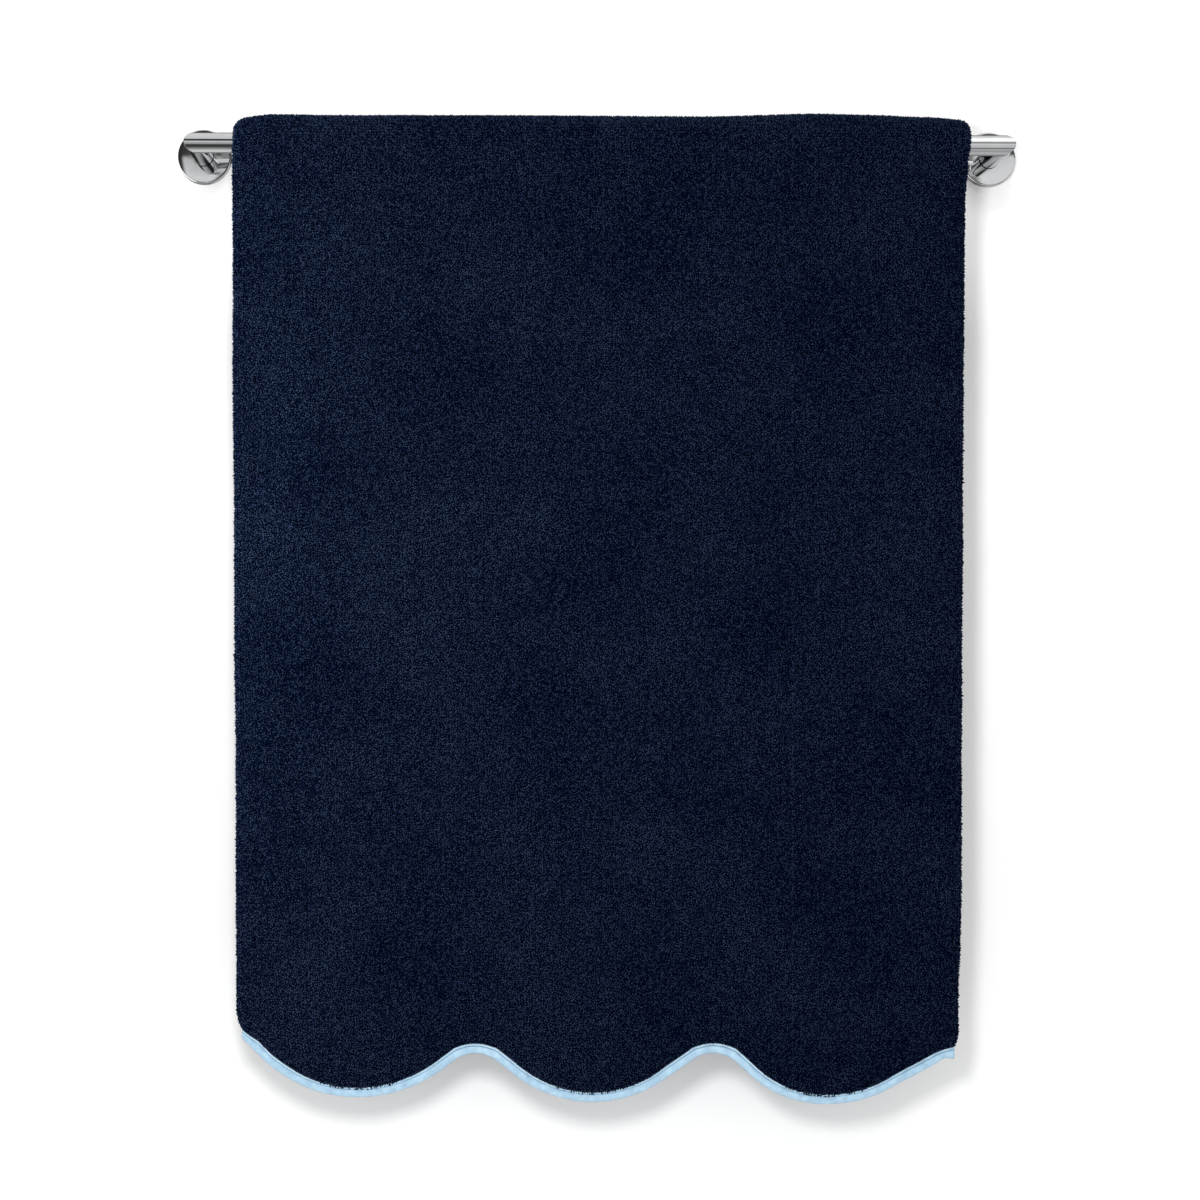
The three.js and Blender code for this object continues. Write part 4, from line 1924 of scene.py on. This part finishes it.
@dataclass(frozen=True)
class Studio:
    """Camera, lights, wall and floor, with lengths in metres."""

    camera_at: tuple = (-0.1028, -2.060, -0.429)
    camera_yaw: float = math.radians(-0.939)
    lens: float = 63.47
    shift_x: float = 0.0615
    sensor: float = 36.0
    far_clip: float = 50.0
    ambient: float = 0.84
    window: float = 1.3
    window_starts: float = -0.38
    window_whole: float = -0.46
    soft: float = 0.05
    rear_soft: float = 0.06
    plaster_dark: Colour = (0.96, 0.96, 0.96)
    plaster_light: Colour = (0.97, 0.97, 0.97)
    plaster_scale: float = 3.0
    wall_y: float = 0.001
    wall_top: float = 2.5
    half_wide: float = 3.0
    floor_z: float = -1.35
    floor_near: float = -4.0
    floor_far: float = 3.0

    def build_camera(self) -> None:
        """Places the camera at the photograph's angle."""
        camera = bpy.data.objects.new("camera", bpy.data.cameras.new("camera"))
        camera.location = self.camera_at
        camera.rotation_euler = (math.pi / 2, 0, self.camera_yaw)
        camera.data.lens = self.lens
        camera.data.sensor_width = self.sensor
        camera.data.shift_x = self.shift_x
        camera.data.clip_end = self.far_clip
        bpy.context.scene.collection.objects.link(camera)
        bpy.context.scene.camera = camera

    def build_lights(self) -> None:
        """Hangs the lamps, which light the scene but are not seen themselves."""
        for lamp in LAMPS:
            light = bpy.data.lights.new(lamp.name, "AREA")
            light.shape = lamp.shape
            light.size = lamp.width
            light.size_y = lamp.height
            light.energy = lamp.power
            piece = bpy.data.objects.new(lamp.name, light)
            piece.location = lamp.at
            aim = Vector(lamp.towards) - Vector(lamp.at)
            piece.rotation_euler = aim.to_track_quat("-Z", "Y").to_euler()
            piece.visible_camera = False
            piece.visible_glossy = False
            bpy.context.scene.collection.objects.link(piece)

    @staticmethod
    def light_only(lamp_name: str, pieces: Sequence[bpy.types.Object]) -> None:
        """Lets one lamp light only the given pieces.

        Args:
            lamp_name: The lamp.
            pieces: What it lights.
        """
        lit = bpy.data.collections.new(f"lit_by_{lamp_name}")
        for piece in pieces:
            lit.objects.link(piece)
        bpy.data.objects[lamp_name].light_linking.receiver_collection = lit

    def build_surroundings(self) -> None:
        """Makes the even pale light all round, and the banded studio that polished metal mirrors."""
        world = bpy.data.worlds.new("surroundings")
        world.use_nodes = True
        bpy.context.scene.world = world
        kit = NodeKit(world.node_tree)
        x, y, z = kit.parts_of(kit.add("ShaderNodeTexCoord", output="Generated"))
        height = z.arcsine() * (1 / math.pi) + 0.5
        front = self._bands(kit, height, "far_left")
        for edge in FRONT_EDGES:
            column = self._bands(kit, height, edge.column)
            front = kit.blend(x.clamped(edge.start, edge.end), front, column)
        rear = kit.blend(x.clamped(-self.rear_soft, self.rear_soft),
                         self._bands(kit, height, "rear_left"), self._bands(kit, height, "rear_right"))
        banded = kit.blend(y.clamped(-self.soft, self.soft), front, rear)
        window = (self.window, self.window, self.window)
        mirrored = kit.blend(x.clamped(self.window_starts, self.window_whole), banded, window)
        even = (self.ambient, self.ambient, self.ambient)
        glossy = kit.add("ShaderNodeLightPath", output="Is Glossy Ray")
        background = world.node_tree.nodes["Background"]
        kit.join(background, "Color", kit.blend(glossy, even, mirrored))

    @staticmethod
    def _bands(kit: NodeKit, height: Wire, column: str) -> Wire:
        """Looks up the greys of one side of the studio.

        Args:
            kit: The world's nodes.
            height: Height in the studio, from 0, straight down, to 1, straight up.
            column: The side's column in the table of bands.

        Returns:
            The grey.
        """
        stops = [(band.height / 180 + 0.5, getattr(band, column)) for band in STUDIO_BANDS]
        return kit.add("ShaderNodeValToRGB", {"stops": stops}, {"Fac": height})

    def build_stage(self) -> None:
        """Adds the pale wall behind the rail and the pale floor."""
        kit = MaterialKit("plaster", {"Roughness": 0.9, "Specular IOR Level": 0.1})
        clouds = kit.noise(self.plaster_scale)
        kit.drive("Base Color", kit.blend(clouds, self.plaster_dark, self.plaster_light))
        clear = kit.add("ShaderNodeBsdfTransparent")
        behind = kit.add("ShaderNodeNewGeometry", None, None, "Backfacing")
        mixed = kit.add("ShaderNodeMixShader", None,
                        {0: behind, 1: Wire(kit, kit.shader.outputs[0]), 2: clear})
        kit.join(kit.tree.nodes["Material Output"], "Surface", mixed)
        left, right = -self.half_wide, self.half_wide
        wall = [(left, self.wall_y, self.floor_z), (right, self.wall_y, self.floor_z),
                (right, self.wall_y, self.wall_top), (left, self.wall_y, self.wall_top)]
        floor = [(left, self.floor_near, self.floor_z), (right, self.floor_near, self.floor_z),
                 (right, self.floor_far, self.floor_z), (left, self.floor_far, self.floor_z)]
        for name, corners in (("wall", wall), ("floor", floor)):
            mesh = mesh_of(name, np.array(corners) / MM, [(0, 1, 2, 3)])
            mesh.materials.append(kit.material)
            piece = link(mesh, name)
            piece.visible_glossy = False
            piece.visible_diffuse = name == "floor"
            piece.visible_shadow = name == "floor"
        self.light_only("wash", [bpy.data.objects["wall"]])
        bpy.context.scene.view_settings.view_transform = "Standard"


def dress(piece: bpy.types.Object, slot: str, *nodes: str) -> None:
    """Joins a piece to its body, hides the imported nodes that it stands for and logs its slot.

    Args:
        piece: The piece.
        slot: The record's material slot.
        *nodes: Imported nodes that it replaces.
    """
    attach(piece, BODY)
    if nodes:
        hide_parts(*nodes)
    LOG.info("piece %s, slot %s, %d faces", piece.name, slot, len(piece.data.polygons))


def build_towel(form: ClothForm) -> list[bpy.types.Object]:
    """Args:
        form: The form in which the cloth hangs.

    Returns:
        The pieces of terry.
    """
    towel = Towel(form)
    ground = towel.build_ground(GroundFinish().build())
    dress(ground, "terry", "towel_terry")
    pile = towel.build_pile(PileTree(), LoopFinish().build())
    for piece in pile:
        dress(piece, "terry")
    trimmings = list(pile)
    tape, thread, stitches = TapeFinish().build(), ThreadFinish().build(), StitchTree()
    for drop in Drop:
        binding = Binding(form, drop, step=TAPE_STEPS[drop])
        band = binding.build(tape)
        dress(band, "binding", f"binding_{binding.label}")
        seam = binding.build_stitches(stitches, thread)
        dress(seam, "binding")
        trimmings += [band, seam]
    return [ground, *pile]


def build_rail(sizes: RailSizes) -> None:
    """Builds the chrome rail.

    Args:
        sizes: The rail's sizes.
    """
    rail = TowelRail(sizes)
    chrome, steel = ChromeFinish().build(), DarkFinish().build()
    names = ("rail_tube", "post_left", "post_right")
    for piece, node in zip(rail.build_tubes(chrome), names):
        dress(piece, "chrome", node)
    for side, label in ((-1, "left"), (1, "right")):
        dress(rail.build_flange(side, label, chrome), "chrome", f"flange_{label}")
        dress(rail.build_screw(side, label, steel), "chrome", f"grub_screw_{label}")


def main() -> None:
    """Builds the studio, the towel and its rail in order."""
    logging.basicConfig(level=logging.INFO, format="%(name)s: %(message)s")
    studio = Studio()
    studio.build_camera()
    studio.build_lights()
    studio.build_surroundings()
    studio.build_stage()
    sizes = RailSizes.from_frame()
    studio.light_only("side", build_towel(ClothForm.from_frame(sizes)))
    build_rail(sizes)


if __name__ == "__main__":
    main()
